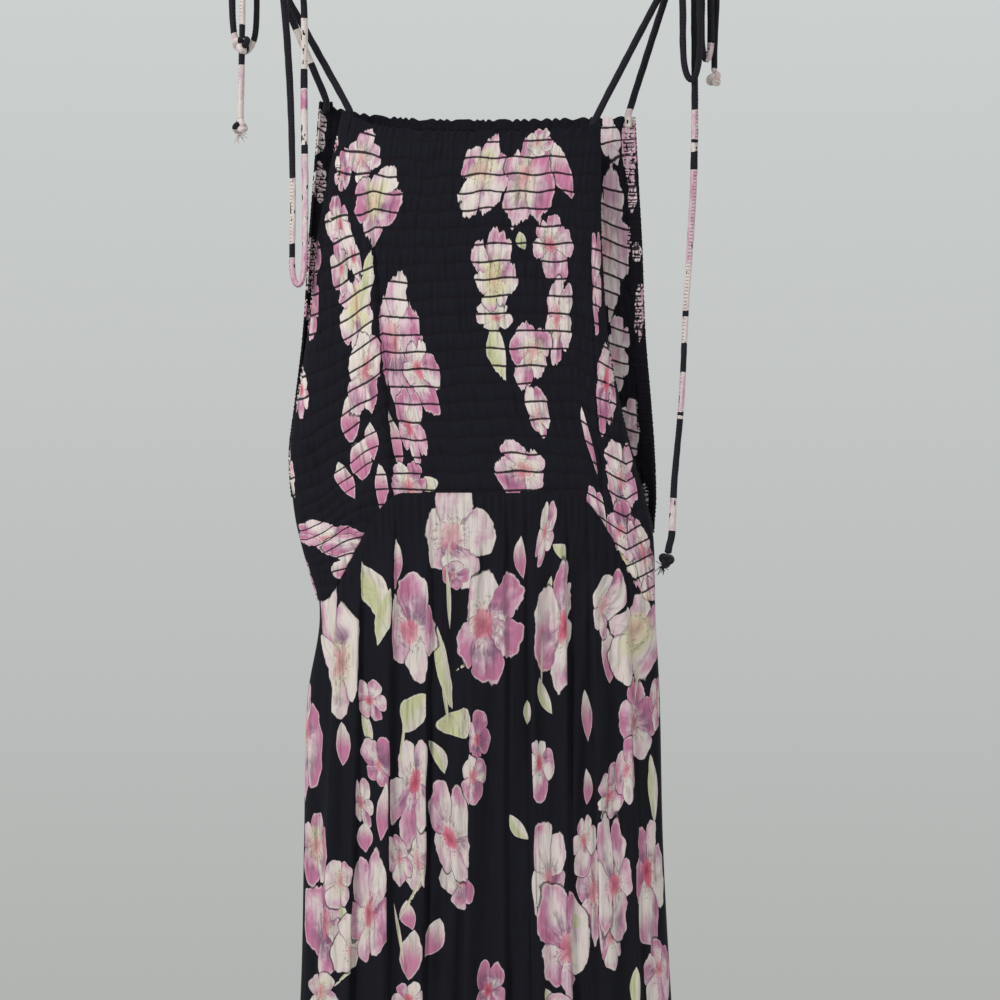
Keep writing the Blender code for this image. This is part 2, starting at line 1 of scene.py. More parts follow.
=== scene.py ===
"""The looks of the tiered maxi dress on its hanger: cloth shells, print, shirring, ties, light and camera.

Shapes are worked out in millimetres in the frame's own axes and turned into metres when a mesh is made.
"""
import math
from collections import namedtuple

import bmesh
import bpy
import numpy as np
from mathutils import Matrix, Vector


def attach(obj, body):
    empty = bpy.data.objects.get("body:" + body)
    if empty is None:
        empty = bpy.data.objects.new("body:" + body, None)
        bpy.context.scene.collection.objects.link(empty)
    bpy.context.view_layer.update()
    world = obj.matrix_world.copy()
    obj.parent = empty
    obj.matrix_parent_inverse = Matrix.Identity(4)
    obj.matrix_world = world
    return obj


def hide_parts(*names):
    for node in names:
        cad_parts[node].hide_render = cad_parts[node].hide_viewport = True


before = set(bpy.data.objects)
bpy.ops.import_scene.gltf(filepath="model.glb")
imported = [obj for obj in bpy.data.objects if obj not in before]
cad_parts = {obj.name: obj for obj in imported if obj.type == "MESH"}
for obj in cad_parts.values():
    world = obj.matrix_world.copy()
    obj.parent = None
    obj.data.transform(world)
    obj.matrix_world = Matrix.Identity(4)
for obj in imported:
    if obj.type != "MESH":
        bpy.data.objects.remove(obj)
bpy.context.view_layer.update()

MM = 0.001

# The photograph's frame: its scale, the column over the hanger's hook and the height of its top edge
PHOTO_MM = 0.88
PHOTO_HOOK_X = 472
PHOTO_TOP = -162.5
PHOTO_SIDE = 1000
CAMERA_AWAY = 2.4           # from the cloth, in metres
CLOTH_PLANE = -0.03         # in metres
LENS = 50.0

# Cloth
SHELL = 1.0                 # thickness of the shells that stand for the cloth
SEAM_TURN = 4.0             # of a gathered edge, behind the cloth that it is sewn to
GROOVE = 2.4                # depth of the crease beside a tuck
HALF_GAP = 0.15             # between two pieces at a seam
WAIST_HALF_GAP = 0.2
ROUNDNESS = 0.7             # of a panel from side to side: lower is flatter in the middle
ROW_SPACING = 15.4          # between two rows of elastic
STEEPNESS = 2.8             # of a fold's tucked side, against its open side
PUFF = 1.7                  # height of the cloth between two rows of elastic

# Heights
FRONT_TOP = -277.0
FRONT_CORNERS = (-257.0, -270.0)
FRONT_DIP = 2.2             # power of the curve from a corner down to the middle
BACK_TOP = -262.0
BACK_CORNERS = (-246.0, -260.0)
BACK_DIP = 2.0
WAIST = -600.0
WAIST_DROP = 92.0           # of the waist seam at the side seams
TIER_SEAM = -1170.0
HEM = -1600.0
UNDERARM_LEFT = -602.0
UNDERARM_RIGHT = -632.0

# Grids, in faces across and down
BODICE_GRID = (190, 204)
SKIRT_GRID = (264, 118)
TIER_GRID = (312, 66)

# Ties
TIE = 6.4
KNOT_RADII = Vector((11.0, 9.0, 8.0))
KNOT_STEPS = 110
END_KNOT = 6.6
SMALL_KNOT = (END_KNOT + 1, END_KNOT, END_KNOT + 1)
LARGE_KNOT = (END_KNOT + 2.4, END_KNOT, END_KNOT + 2.8)
FRAYED_THREADS = 26         # where a tie is cut off below its end knot
PINCH = 3.1                 # between two stitches along a tie
TIE_STEP = 1.6              # between two rings of a tie's mesh

# Hanger
BAR_TOP = -75.0
BAR_FALL = 45.0             # of the bar over its span, half its width before its ends are rounded
BAR_SPAN = 215.0
BAR_END = 206.0
BAR_HEIGHT = 15.0
BAR_DEPTH = 10.0
BAR_AROUND = 28
NOTCH_AT = 182.6
NOTCH_DEPTH = 5.0
NOTCH_FLAT = 7.0
NOTCH_CURVE = 0.35
WIRE = 4.0
CROOK = 20.0
NOTCH_FLOOR = BAR_TOP - BAR_FALL * (NOTCH_AT / BAR_SPAN) ** 1.3 - NOTCH_DEPTH
KNOT_HEIGHT = NOTCH_FLOOR + 0.3 + KNOT_RADII.z
LEFT_KNOT = Vector((-NOTCH_AT, 0, KNOT_HEIGHT))
RIGHT_KNOT = Vector((NOTCH_AT, 0, KNOT_HEIGHT))
LEFT_MIDDLE_KNOT = Vector((-202.4, -31, -202))
LEFT_END_KNOT = Vector((-204, -31, -274))
RIGHT_SHORT_KNOT = Vector((215, -6, -228.5))
RIGHT_LONG_KNOT = Vector((172.5, -7, -656))

Section = namedtuple("Section", "height left right left_depth right_depth middle_depth")
Fold = namedtuple("Fold", "top_x low_x width depth steep tuck")
Route = namedtuple("Route", "name leaves through reaches knots nodes", defaults=((), ()))
Knot = namedtuple("Knot", "name node middle radii radius seed tone turn dark frayed", defaults=(0.5, None))


def table(kind, *rows):
    """Rows of values under the named columns of their kind."""
    return tuple(kind(*row) for row in rows)


BODICE_FRONT = table(
    Section,
    (-255, -114, 113, 8, 8, 19),
    (-321, -128, 113, 10, 10, 23),
    (-374, -137, 114, 11, 12, 25),
    (-453, -145, 119, 11, 13, 26),
    (-515, -155, 130, 9, 12, 27),
    (-560, -162, 141, 6, 9, 27),
    (-602, -160, 153, HALF_GAP, 5, 27),
    (-632, -155, 161, HALF_GAP, HALF_GAP, 28),
    (-700, -136, 163, HALF_GAP, HALF_GAP, 29),
)
BODICE_BACK = table(
    Section,
    (-245, -136, 144, 8, 8, 16),
    (-321, -142, 148, 10, 10, 20),
    (-374, -146, 151, 11, 11, 23),
    (-453, -151, 154, 11, 12, 24),
    (-515, -158, 159, 9, 11, 25),
    (-560, -163, 162, 6, 8, 26),
    (-602, -160, 163, HALF_GAP, 4, 26),
    (-632, -155, 161, HALF_GAP, HALF_GAP, 27),
    (-700, -136, 163, HALF_GAP, HALF_GAP, 28),
)
SKIRT = table(
    Section,
    (-602, -160, 153, HALF_GAP, HALF_GAP, 28),
    (-640, -153, 161, HALF_GAP, HALF_GAP, 30),
    (-700, -136, 163, HALF_GAP, HALF_GAP, 34),
    (-780, -147, 167, HALF_GAP, HALF_GAP, 38),
    (-910, -150, 170, HALF_GAP, HALF_GAP, 41),
    (-1042, -153, 177, HALF_GAP, HALF_GAP, 44),
    (-1170, -162, 186, HALF_GAP, HALF_GAP, 46),
)
TIER = table(
    Section,
    (-1170, -162, 186, HALF_GAP, HALF_GAP, 46),
    (-1230, -172, 195, HALF_GAP, HALF_GAP, 50),
    (-1400, -190, 212, HALF_GAP, HALF_GAP, 56),
    (-1600, -208, 230, HALF_GAP, HALF_GAP, 62),
)
FRONT_FOLDS = table(
    Fold,
    (-118, -138, 11, 7, -1, 6), (-98, -112, 9, 6, 1, 8), (-70, -80, 12, 9, 1, 12),
    (-38, -46, 9, 7, 1, 9), (2, -6, 11, 9, -1, 5), (28, 28, 8, 5, 1, 7),
    (52, 58, 9, 7, -1, 10), (80, 88, 8, 6, 1, 8), (106, 118, 12, 9, -1, 11),
    (134, 152, 10, 7, 1, 7),
)
BACK_FOLDS = table(
    Fold,
    (-122, -134, 10, 6, 1, 7), (-92, -104, 11, 8, -1, 9), (-60, -66, 9, 6, 1, 8),
    (-30, -34, 12, 9, 1, 11), (6, 4, 9, 6, -1, 6), (34, 38, 10, 8, 1, 9),
    (66, 74, 9, 6, -1, 8), (98, 112, 12, 9, 1, 10), (130, 146, 9, 6, -1, 7),
)
BODICE_FOLDS = table(
    Fold,
    (-100, -72, 16, 5, 1, 9), (104, 122, 14, 4, -1, 7),
)
TIER_WAVES = 15
TIER_WAVE_DEPTH = 9.0

# The print, charted. A motif's place and its size across and down are in photo pixels. bloom
# is 1 for an open flower, 0 for a leaf or bud; pink runs from cream to deep pink, or from green to
# pink on a leaf or bud; warm is how coral or yellow its middle is.
Motif = namedtuple("Motif", "x y across down tilt bloom pink warm")
BODICE_CHART = table(
    Motif,
    (364, 155, 34, 54, 0, 1, 0.4, 0.2), (376, 203, 48, 80, -14, 1, 0.6, 0.8),
    (342, 168, 18, 44, 0, 1, 0.4, 0.2), (326, 140, 12, 18, 0, 0, 0.4, 0.1),
    (337, 222, 26, 52, 6, 1, 0.5, 0.2), (339, 268, 17, 54, 6, 1, 0.45, 0.2),
    (482, 178, 48, 86, -6, 1, 0.55, 0.6), (527, 183, 48, 94, 6, 1, 0.6, 0.3),
    (560, 168, 24, 66, 28, 0, 0.75, 0.2), (540, 140, 26, 28, 0, 1, 0.15, 0.3),
    (494, 270, 46, 78, 0, 1, 0.5, 1.0), (494, 316, 36, 30, 0, 1, 0.2, 0.4),
    (521, 240, 12, 20, 20, 0, 0.05, 0.8), (556, 247, 40, 66, 14, 1, 0.6, 0.1),
    (558, 318, 28, 92, -6, 1, 0.5, 0.2), (497, 352, 22, 58, 8, 0, 0.05, 0.9),
    (528, 354, 42, 68, -10, 1, 0.6, 0.4), (538, 411, 22, 58, 0, 1, 0.65, 0.1),
    (519, 468, 52, 56, 0, 1, 0.55, 0.2), (355, 314, 36, 82, 6, 1, 0.45, 1.0),
    (362, 374, 34, 88, -10, 1, 0.6, 0.2), (366, 284, 14, 74, -8, 0, 0.08, 0.5),
    (398, 340, 44, 132, 0, 1, 0.68, 0.0), (422, 374, 34, 70, 8, 1, 0.6, 0.1),
    (411, 425, 28, 74, -6, 1, 0.65, 0.1), (350, 420, 18, 50, -10, 0, 0.7, 0.2),
    (362, 460, 22, 46, -14, 0, 0.62, 0.2), (373, 441, 14, 38, -8, 0, 0.72, 0.2),
    (394, 440, 13, 60, 0, 0, 0.42, 0.1), (406, 485, 42, 50, 0, 1, 0.55, 0.2),
    (430, 484, 26, 16, 20, 0, 0.08, 0.9), (594, 283, 18, 104, 2, 1, 0.8, 0.0),
    (605, 388, 30, 96, -8, 1, 0.75, 0.0), (619, 474, 44, 82, -8, 1, 0.75, 0.0),
    (588, 440, 10, 70, 0, 0, 0.75, 0.1), (624, 532, 46, 62, 0, 1, 0.7, 0.1),
    (645, 560, 30, 88, 10, 1, 0.5, 0.2), (612, 572, 40, 56, 0, 1, 0.35, 1.0),
    (632, 606, 34, 34, 0, 1, 0.6, 0.2), (332, 540, 74, 34, -14, 1, 0.65, 0.1),
    (368, 552, 56, 30, 6, 1, 0.6, 0.1), (350, 572, 40, 22, 34, 0, 0.72, 0.2),
    (305, 300, 22, 84, 0, 1, 0.68, 0.1), (314, 254, 18, 50, 0, 1, 0.6, 0.1),
    (299, 394, 20, 50, 0, 1, 0.45, 0.1), (289, 470, 12, 52, 0, 1, 0.1, 0.1),
    (306, 582, 20, 44, 0, 1, 0.6, 0.2), (314, 628, 20, 50, 0, 1, 0.7, 0.2),
    (572, 536, 10, 40, 0, 0, 0.1, 0.6), (600, 516, 22, 66, 6, 1, 0.62, 0.1),
    (650, 612, 22, 50, 0, 1, 0.5, 0.4), (606, 626, 28, 34, 10, 1, 0.45, 0.3),
    (352, 250, 16, 60, 14, 1, 0.35, 0.1), (382, 486, 14, 44, -6, 0, 0.6, 0.1),
    (346, 480, 16, 40, 10, 0, 0.62, 0.1),
)
BACK_CHART = table(
    Motif,
    (613, 134, 22, 56, 14, 1, 0.2, 0.0), (634, 136, 20, 84, 0, 1, 0.8, 0.0),
    (614, 238, 38, 152, 0, 1, 0.35, 0.3), (636, 190, 12, 40, 0, 1, 0.6, 0.0),
    (617, 354, 32, 88, -4, 1, 0.35, 0.1), (632, 426, 22, 64, 0, 1, 0.3, 0.1),
    (641, 248, 13, 26, 0, 1, 0.2, 0.1), (644, 306, 14, 62, 0, 1, 0.55, 0.1),
    (648, 520, 14, 90, 0, 1, 0.45, 0.1), (315, 126, 17, 50, 0, 1, 0.15, 0.0),
    (316, 176, 17, 44, 0, 1, 0.1, 0.0),
)
SKIRT_CHART = table(
    Motif,
    (458, 537, 78, 96, 6, 1, 0.22, 0.0), (455, 572, 24, 26, 0, 1, 0.8, 0.0),
    (341, 648, 44, 130, 0, 1, 0.32, 0.4), (374, 590, 34, 62, 16, 0, 0.05, 0.3),
    (385, 616, 24, 58, -14, 0, 0.05, 1.0), (416, 628, 58, 100, 10, 1, 0.4, 0.0),
    (443, 668, 16, 86, 10, 0, 0.12, 0.8), (449, 596, 5, 62, 4, 0, 0.04, 0.2),
    (490, 621, 80, 108, -12, 1, 0.74, 0.0), (546, 528, 16, 60, -6, 1, 0.4, 0.1),
    (563, 552, 16, 28, 50, 0, 0.05, 0.9), (546, 612, 16, 70, 0, 0, 0.1, 0.5),
    (560, 622, 46, 118, -4, 1, 0.42, 0.0), (608, 656, 20, 58, 6, 0, 0.62, 0.1),
    (634, 640, 56, 92, 8, 1, 0.26, 0.8), (543, 697, 14, 40, 20, 0, 0.08, 0.2),
    (541, 664, 3, 60, 0, 0, 0.04, 0.2), (528, 713, 9, 24, 0, 0, 0.08, 0.1),
    (372, 698, 32, 42, 20, 1, 0.66, 0.0), (366, 728, 12, 40, 14, 0, 0.1, 0.3),
    (414, 709, 34, 48, -38, 0, 0.05, 0.7), (461, 724, 48, 32, 6, 0, 0.06, 1.0),
    (478, 735, 26, 42, 0, 1, 0.85, 0.0), (470, 778, 34, 50, -14, 1, 0.72, 0.1),
    (439, 756, 16, 38, 24, 0, 0.08, 0.4), (306, 745, 34, 112, 0, 1, 0.66, 0.0),
    (343, 745, 18, 44, 0, 0, 0.68, 0.2), (379, 757, 34, 48, 14, 1, 0.78, 0.0),
    (362, 800, 22, 46, 10, 1, 0.5, 0.1), (384, 812, 18, 60, -6, 0, 0.62, 0.1),
    (366, 836, 20, 30, 0, 0, 0.6, 0.1), (412, 790, 42, 104, -6, 1, 0.48, 0.0),
    (416, 852, 34, 72, 8, 1, 0.5, 0.0), (455, 830, 42, 96, 10, 1, 0.36, 0.0),
    (461, 880, 38, 48, 20, 1, 0.74, 0.0), (540, 764, 24, 60, 0, 1, 0.58, 0.0),
    (518, 826, 16, 32, 35, 0, 0.1, 0.0), (588, 714, 13, 50, 4, 0, 0.42, 0.0),
    (588, 784, 11, 36, 0, 0, 0.45, 0.0), (634, 722, 50, 74, 10, 1, 0.62, 0.1),
    (628, 772, 24, 60, 0, 1, 0.5, 0.1), (610, 792, 28, 56, -14, 1, 0.62, 0.1),
    (654, 790, 14, 68, 4, 0, 0.09, 0.3), (657, 702, 16, 52, 0, 1, 0.6, 0.1),
    (317, 852, 38, 68, 0, 1, 0.55, 0.5), (322, 926, 54, 90, 8, 1, 0.68, 0.0),
    (345, 918, 11, 44, 10, 0, 0.06, 0.8), (352, 946, 40, 62, -10, 1, 0.34, 0.1),
    (371, 905, 40, 112, -6, 1, 0.6, 0.1), (409, 916, 20, 30, 10, 0, 0.8, 0.0),
    (412, 951, 30, 52, -8, 0, 0.42, 0.0), (399, 930, 4, 60, 8, 0, 0.1, 0.2),
    (318, 996, 42, 44, 0, 1, 0.3, 0.4), (412, 1002, 40, 44, 0, 1, 0.35, 0.2),
    (491, 986, 30, 54, 0, 1, 0.88, 0.0), (545, 872, 46, 96, -8, 1, 0.7, 0.0),
    (568, 934, 62, 112, 6, 1, 0.62, 0.0), (590, 896, 26, 92, 0, 1, 0.55, 0.2),
    (576, 918, 13, 18, 0, 0, 0.05, 0.9), (611, 876, 42, 120, 2, 1, 0.55, 0.0),
    (650, 884, 40, 112, 0, 1, 0.62, 0.0), (636, 986, 14, 44, 0, 0, 0.05, 1.0),
    (659, 980, 34, 74, 0, 1, 0.72, 0.0), (549, 996, 13, 24, 20, 0, 0.08, 0.2),
    (566, 1012, 44, 44, 0, 1, 0.5, 0.2), (417, 888, 4, 76, -30, 0, 0.1, 0.2),
    (467, 664, 4, 30, -58, 0, 0.1, 0.2), (350, 972, 4, 50, -48, 0, 0.1, 0.2),
    (637, 684, 3, 42, -6, 0, 0.1, 0.2), (402, 742, 4, 46, -8, 0, 0.1, 0.2),
    (560, 972, 4, 50, 24, 0, 0.1, 0.2), (446, 700, 4, 44, 8, 0, 0.1, 0.2),
    (432, 938, 26, 44, -26, 0, 0.55, 0.1), (606, 940, 26, 60, 12, 1, 0.48, 0.0),
    (398, 862, 24, 50, 10, 1, 0.55, 0.1), (338, 884, 30, 50, -10, 1, 0.45, 0.3),
    (584, 846, 24, 54, -8, 1, 0.45, 0.1), (604, 600, 20, 70, 4, 1, 0.5, 0.1),
    (396, 566, 18, 50, -10, 0, 0.6, 0.1), (520, 560, 14, 44, 8, 0, 0.55, 0.1),
)
LAYERS = 4                  # motifs that lie over each other are kept on separate layers
REACH = 1.25                # how far past its edge a motif owns the cloth around it
CLUSTER_GAP = 82            # between the middles of two clusters of flowers

# Colours, as linear light
NAVY = (0.0062, 0.0062, 0.0110)
CREAM = (0.69, 0.615, 0.57)
PALE_PINK = (0.63, 0.41, 0.49)
PINK = (0.52, 0.185, 0.31)
MAUVE = (0.175, 0.085, 0.155)
CORAL = (0.62, 0.115, 0.19)
DARK_HEART = (0.27, 0.035, 0.07)
STAMEN = (0.15, 0.03, 0.06)
YELLOW = (0.62, 0.58, 0.32)
LEAF = (0.52, 0.52, 0.30)
THREAD = (0.008, 0.005, 0.009)
# Inner faces: the print washed paler, as a wrong side is, and pushed brighter than cream as painted light
# against the shade inside the panels
PALE_WRONG_SIDE_AND_PAINTED_LIGHT = (0.86, 0.70, 0.78)
MAUVE_GREY = (0.10, 0.07, 0.10)


def photo_point(x, y):
    return (x - PHOTO_HOOK_X) * PHOTO_MM, PHOTO_TOP - y * PHOTO_MM


def smooth(t):
    t = np.clip(t, 0.0, 1.0)
    return t * t * (3 - 2 * t)


def read(sections, column, height):
    """One column of a table of sections at many heights, on a smooth curve through its rows."""
    heights, values = np.array([(row.height, getattr(row, column)) for row in sections], float).T
    slopes = np.empty(len(values))
    slopes[1:-1] = (values[2:] - values[:-2]) / (heights[2:] - heights[:-2])
    slopes[[0, -1]] = (np.diff(values) / np.diff(heights))[[0, -1]]
    height = np.clip(height, heights[-1], heights[0])
    k = np.clip(np.searchsorted(-heights, -height, side="right") - 1, 0, len(heights) - 2)
    span = heights[k + 1] - heights[k]
    t = (height - heights[k]) / span
    above, below = values[k], values[k + 1]
    value = (1 + 2 * t) * (1 - t) ** 2 * above + t * t * (3 - 2 * t) * below
    value = value + t * (1 - t) * span * ((1 - t) * slopes[k] - t * slopes[k + 1])
    return np.clip(value, np.minimum(above, below), np.maximum(above, below))


def section_points(sections, left_height, right_height, share):
    angle = 0.45 * np.pi * share + 0.55 * np.arccos(np.clip(1 - 2 * share, -1, 1))
    left, right = read(sections, "left", left_height), read(sections, "right", right_height)
    near_left = (1 + np.cos(angle)) / 2
    mean = left_height * near_left + right_height * (1 - near_left)
    edge = read(sections, "left_depth", left_height) * near_left
    edge = edge + read(sections, "right_depth", right_height) * (1 - near_left)
    middle = read(sections, "middle_depth", mean)
    x = (left + right) / 2 - (right - left) / 2 * np.cos(angle)
    depth = edge + (middle - edge) * np.maximum(0, np.sin(angle)) ** ROUNDNESS
    return x, depth


def waist_height(share):
    return WAIST - WAIST_DROP * smooth((np.abs(2 * share - 1) - 0.40) / 0.52)


def top_edge(middle, corners, power, share):
    corner = corners[0] + (corners[1] - corners[0]) * share
    return middle + (corner - middle) * np.abs(2 * share - 1) ** power


def fold_lift(folds, x, fall, envelope):
    """Ridges that are steep on one side, where the cloth is tucked under."""
    lift = np.zeros_like(x)
    for fold in folds:
        away = (x - fold.top_x - (fold.low_x - fold.top_x) * fall) / fold.width
        away = np.where(away * fold.steep > 0, away * STEEPNESS, away)
        lift += fold.depth * np.exp(-(away**2))
    return lift * envelope


class Wave:
    """Smooth uneven noise of two coordinates, the same each run: a sum of seeded sine waves."""

    def __init__(self, seed, size_a, size_b, terms=7):
        rng = np.random.default_rng(seed)
        self.turns = rng.uniform(0.5, 1.6, (terms, 2)) * rng.choice((-1, 1), (terms, 2))
        self.turns *= 2 * np.pi / np.array((size_a, size_b))
        self.start = rng.uniform(0, 2 * np.pi, terms)

    def __call__(self, a, b):
        total = 0
        for (ta, tb), start in zip(self.turns, self.start):
            total = total + np.sin(a * ta + b * tb + start)
        return total / math.sqrt(len(self.start))


class Cloth:
    """A panel's grid: x, depth and height arrays, with the cloth's own coordinate across it."""

    def __init__(self, x, depth, height, face):
        self.x, self.depth, self.height, self.face = x, depth, height, face
        step = np.hypot(np.diff(x, axis=1), np.diff(depth, axis=1))
        run = np.concatenate((np.zeros((len(x), 1)), np.cumsum(step, axis=1)), axis=1)
        self.across = run - run[:, x.shape[1] // 2][:, None]

    def tuck(self, folds, fall, hidden_share, groove_share):
        """Hides some cloth in each fold's tuck, and presses a crease beside it."""
        hidden, groove = np.zeros_like(self.x), np.zeros_like(self.x)
        for fold in folds:
            middle = fold.top_x + (fold.low_x - fold.top_x) * fall
            past = self.x - middle - fold.steep * fold.width * 0.5 / STEEPNESS
            hidden += fold.tuck * smooth(past / 1.4 + 0.5) * hidden_share
            beside = (past - fold.steep * 1.8) / 1.9
            groove += GROOVE * min(1, fold.tuck / 9) * np.exp(-(beside**2)) * groove_share
        self.across = self.across + hidden - hidden[:, self.x.shape[1] // 2][:, None]
        self.depth = self.depth - groove

    def normals(self):
        dx, dd = np.gradient(self.x, axis=1), np.gradient(self.depth, axis=1)
        size = np.hypot(dx, dd)
        nx, nd = -dd / size, dx / size
        nx[:, 0], nd[:, 0] = -1, 0
        nx[:, -1], nd[:, -1] = 1, 0
        return nx, nd

    def raised(self, lift):
        nx, nd = self.normals()
        out = Cloth(self.x + nx * lift, self.depth + nd * lift, self.height, self.face)
        out.across = self.across
        return out

    def points(self):
        return np.stack((self.x, self.face * self.depth, self.height), axis=-1)


def grid_faces(rows, columns, flip):
    corner = (np.arange(rows)[:, None] * (columns + 1) + np.arange(columns)[None, :]).ravel()
    faces = np.stack((corner, corner + columns + 1, corner + columns + 2, corner + 1), axis=1)
    return faces[:, ::-1] if flip else faces


def mesh_from(name, points, faces):
    """A smooth mesh, from points in millimetres."""
    mesh = bpy.data.meshes.new(name)
    mesh.from_pydata((np.asarray(points) * MM).tolist(), [], faces)
    mesh.shade_smooth()
    return mesh


def put(data, name, spot=(0, 0, 0), turn=(0, 0, 0)):
    thing = bpy.data.objects.new(name, data)
    thing.location, thing.rotation_euler = spot, turn
    bpy.context.scene.collection.objects.link(thing)
    return thing


def add_piece(mesh, name, slot, *nodes):
    """Adds a piece of the one body, in place of these nodes of the frame."""
    piece = put(mesh, name)
    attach(piece, "root")
    if nodes:
        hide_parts(*nodes)
    return piece


def lengths_along(path):
    """How far along a path each of its points lies."""
    return np.concatenate(([0], np.cumsum(np.linalg.norm(np.diff(path, axis=0), axis=1))))


def ring_faces(count, around, closed=False):
    """The faces between rings of points, one ring after another."""
    low = np.arange(count if closed else count - 1)[:, None] * around
    high = (low + around) % (count * around)
    here = np.arange(around)[None, :]
    there = (here + 1) % around
    return np.stack((low + here, high + here, high + there, low + there), axis=-1).reshape(-1, 4).tolist()


def set_attribute(mesh, name, domain, values):
    """Gives a mesh an attribute of one number or three, on its points or its faces' corners."""
    single = np.ndim(values) == 1
    made = mesh.attributes.new(name, "FLOAT" if single else "FLOAT_VECTOR", domain)
    made.data.foreach_set("value" if single else "vector", np.asarray(values, np.float32).ravel())


# The print

def chart_on(cloth, chart, swell):
    """A chart's motifs in the cloth's own coordinates: each is found at its place in the front view."""
    placed = []
    for motif in chart:
        x, height = photo_point(motif.x, motif.y)
        near = np.hypot(cloth.x - x, cloth.height - height)
        at = np.unravel_index(np.argmin(near), near.shape)
        half = PHOTO_MM / 2 * (swell if motif.bloom else 1)
        placed.append(
            (
                cloth.across[at], cloth.height[at], motif.across * half, motif.down * half,
                math.radians(motif.tilt), motif.bloom, motif.pink, motif.warm,
            )
        )
    return placed


def scatter(seed, low, high, clusters, squeeze=1.0):
    """Clusters of flowers, buds and leaves over a stretch of cloth, with dark cloth between them."""
    rng = np.random.default_rng(seed)
    placed, middles = [], []
    for _ in range(clusters * 12):
        if len(middles) == clusters:
            break
        spot = rng.uniform(low, high)
        gaps = [math.hypot((spot[0] - m[0]) / squeeze, (spot[1] - m[1]) * 0.8) for m in middles]
        if not gaps or min(gaps) > CLUSTER_GAP:
            middles.append(spot)
    for spot in middles:

        def off_middle(angle, off, rise):
            return spot[0] + off * squeeze * math.cos(angle), spot[1] + off * rise * math.sin(angle)

        turn = rng.uniform(0, 2 * np.pi)
        for k in range(rng.integers(2, 5)):
            angle = turn + k * 2.1 + rng.uniform(-0.4, 0.4)
            off = 0 if k == 0 else rng.uniform(30, 42)
            size = rng.uniform(23, 34) if k < 2 else rng.uniform(13, 22)
            flower = (
                *off_middle(angle, off, 1.15), size * squeeze, size * rng.uniform(1.05, 1.45),
                rng.uniform(-0.4, 0.4), 1, rng.uniform(0.2, 0.75), rng.choice((0.0, 0.1, 0.3, 0.8)),
            )
            placed.append(flower)
        for k in range(rng.integers(2, 4)):
            angle = turn + 1.0 + k * 2.3 + rng.uniform(-0.4, 0.4)
            off = rng.uniform(40, 56)
            green = rng.random() < 0.6
            leaf = (
                *off_middle(angle, off, 1.1), rng.uniform(6, 11) * squeeze, rng.uniform(16, 30),
                rng.uniform(-0.9, 0.9), 0, rng.uniform(0.03, 0.15) if green else rng.uniform(0.5, 0.8),
                rng.uniform(0.2, 0.9),
            )
            placed.append(leaf)
    return placed


def share_layers(placed):
    """Gives each motif a layer on which it meets the fewest others."""
    layers = [[] for _ in range(LAYERS)]

    def crowding(layer, motif):
        cost = 0.0
        for other in layer:
            apart_x = abs(motif[0] - other[0]) / (motif[2] + other[2])
            apart_y = abs(motif[1] - other[1]) / (motif[3] + other[3])
            cost += max(0.0, 1.15 - math.hypot(apart_x, apart_y))
        return cost

    for motif in placed:
        min(layers, key=lambda layer: crowding(layer, motif)).append(motif)
    return layers


def paint_motifs(mesh, across, height, placed):
    """Writes, on the corners of every face, where it lies in the motif that owns it on each layer.

    motifN holds the place in the motif's own frame, -1 to 1 across and down, and the motif's own
    number. kindN holds bloom, pink and warm.
    """
    loops = np.empty(len(mesh.loops), np.int32)
    mesh.loops.foreach_get("vertex_index", loops)
    sides = 4
    u = across.ravel()[loops].reshape(-1, sides)
    v = height.ravel()[loops].reshape(-1, sides)
    middle_u, middle_v = u.mean(axis=1), v.mean(axis=1)
    for number, layer in enumerate(share_layers(placed)):
        best = np.full(len(u), REACH)
        place = np.full((len(u), sides, 3), 9.0)
        kind = np.zeros((len(u), sides, 3))
        for k, (mu, mv, half_u, half_v, tilt, bloom, pink, warm) in enumerate(layer):
            c, s = math.cos(tilt), math.sin(tilt)

            def local(a, b):
                return ((a - mu) * c + (b - mv) * s) / half_u, (-(a - mu) * s + (b - mv) * c) / half_v

            lu, lv = local(middle_u, middle_v)
            far = np.hypot(lu, lv)
            mine = far < best
            best[mine] = far[mine]
            au, av = local(u[mine], v[mine])
            number_of = np.full(au.shape, (k * 0.379 + number * 0.171) % 1.0)
            place[mine] = np.stack((au, av, number_of), axis=-1)
            kind[mine] = (bloom, pink, warm)
        set_attribute(mesh, "motif%d" % number, "CORNER", place)
        set_attribute(mesh, "kind%d" % number, "CORNER", kind)


# Shader nodes

class Value:
    """A number or colour in a material's nodes, so that a sum of them reads as a sum."""

    def __init__(self, tree, socket):
        self.tree, self.socket = tree, socket

    def __add__(self, other):
        return self.tree.math("ADD", self, other)

    def __sub__(self, other):
        return self.tree.math("SUBTRACT", self, other)

    def __rsub__(self, other):
        return self.tree.math("SUBTRACT", other, self)

    def __mul__(self, other):
        return self.tree.math("MULTIPLY", self, other)

    def __truediv__(self, other):
        return self.tree.math("DIVIDE", self, other)

    __radd__, __rmul__ = __add__, __mul__


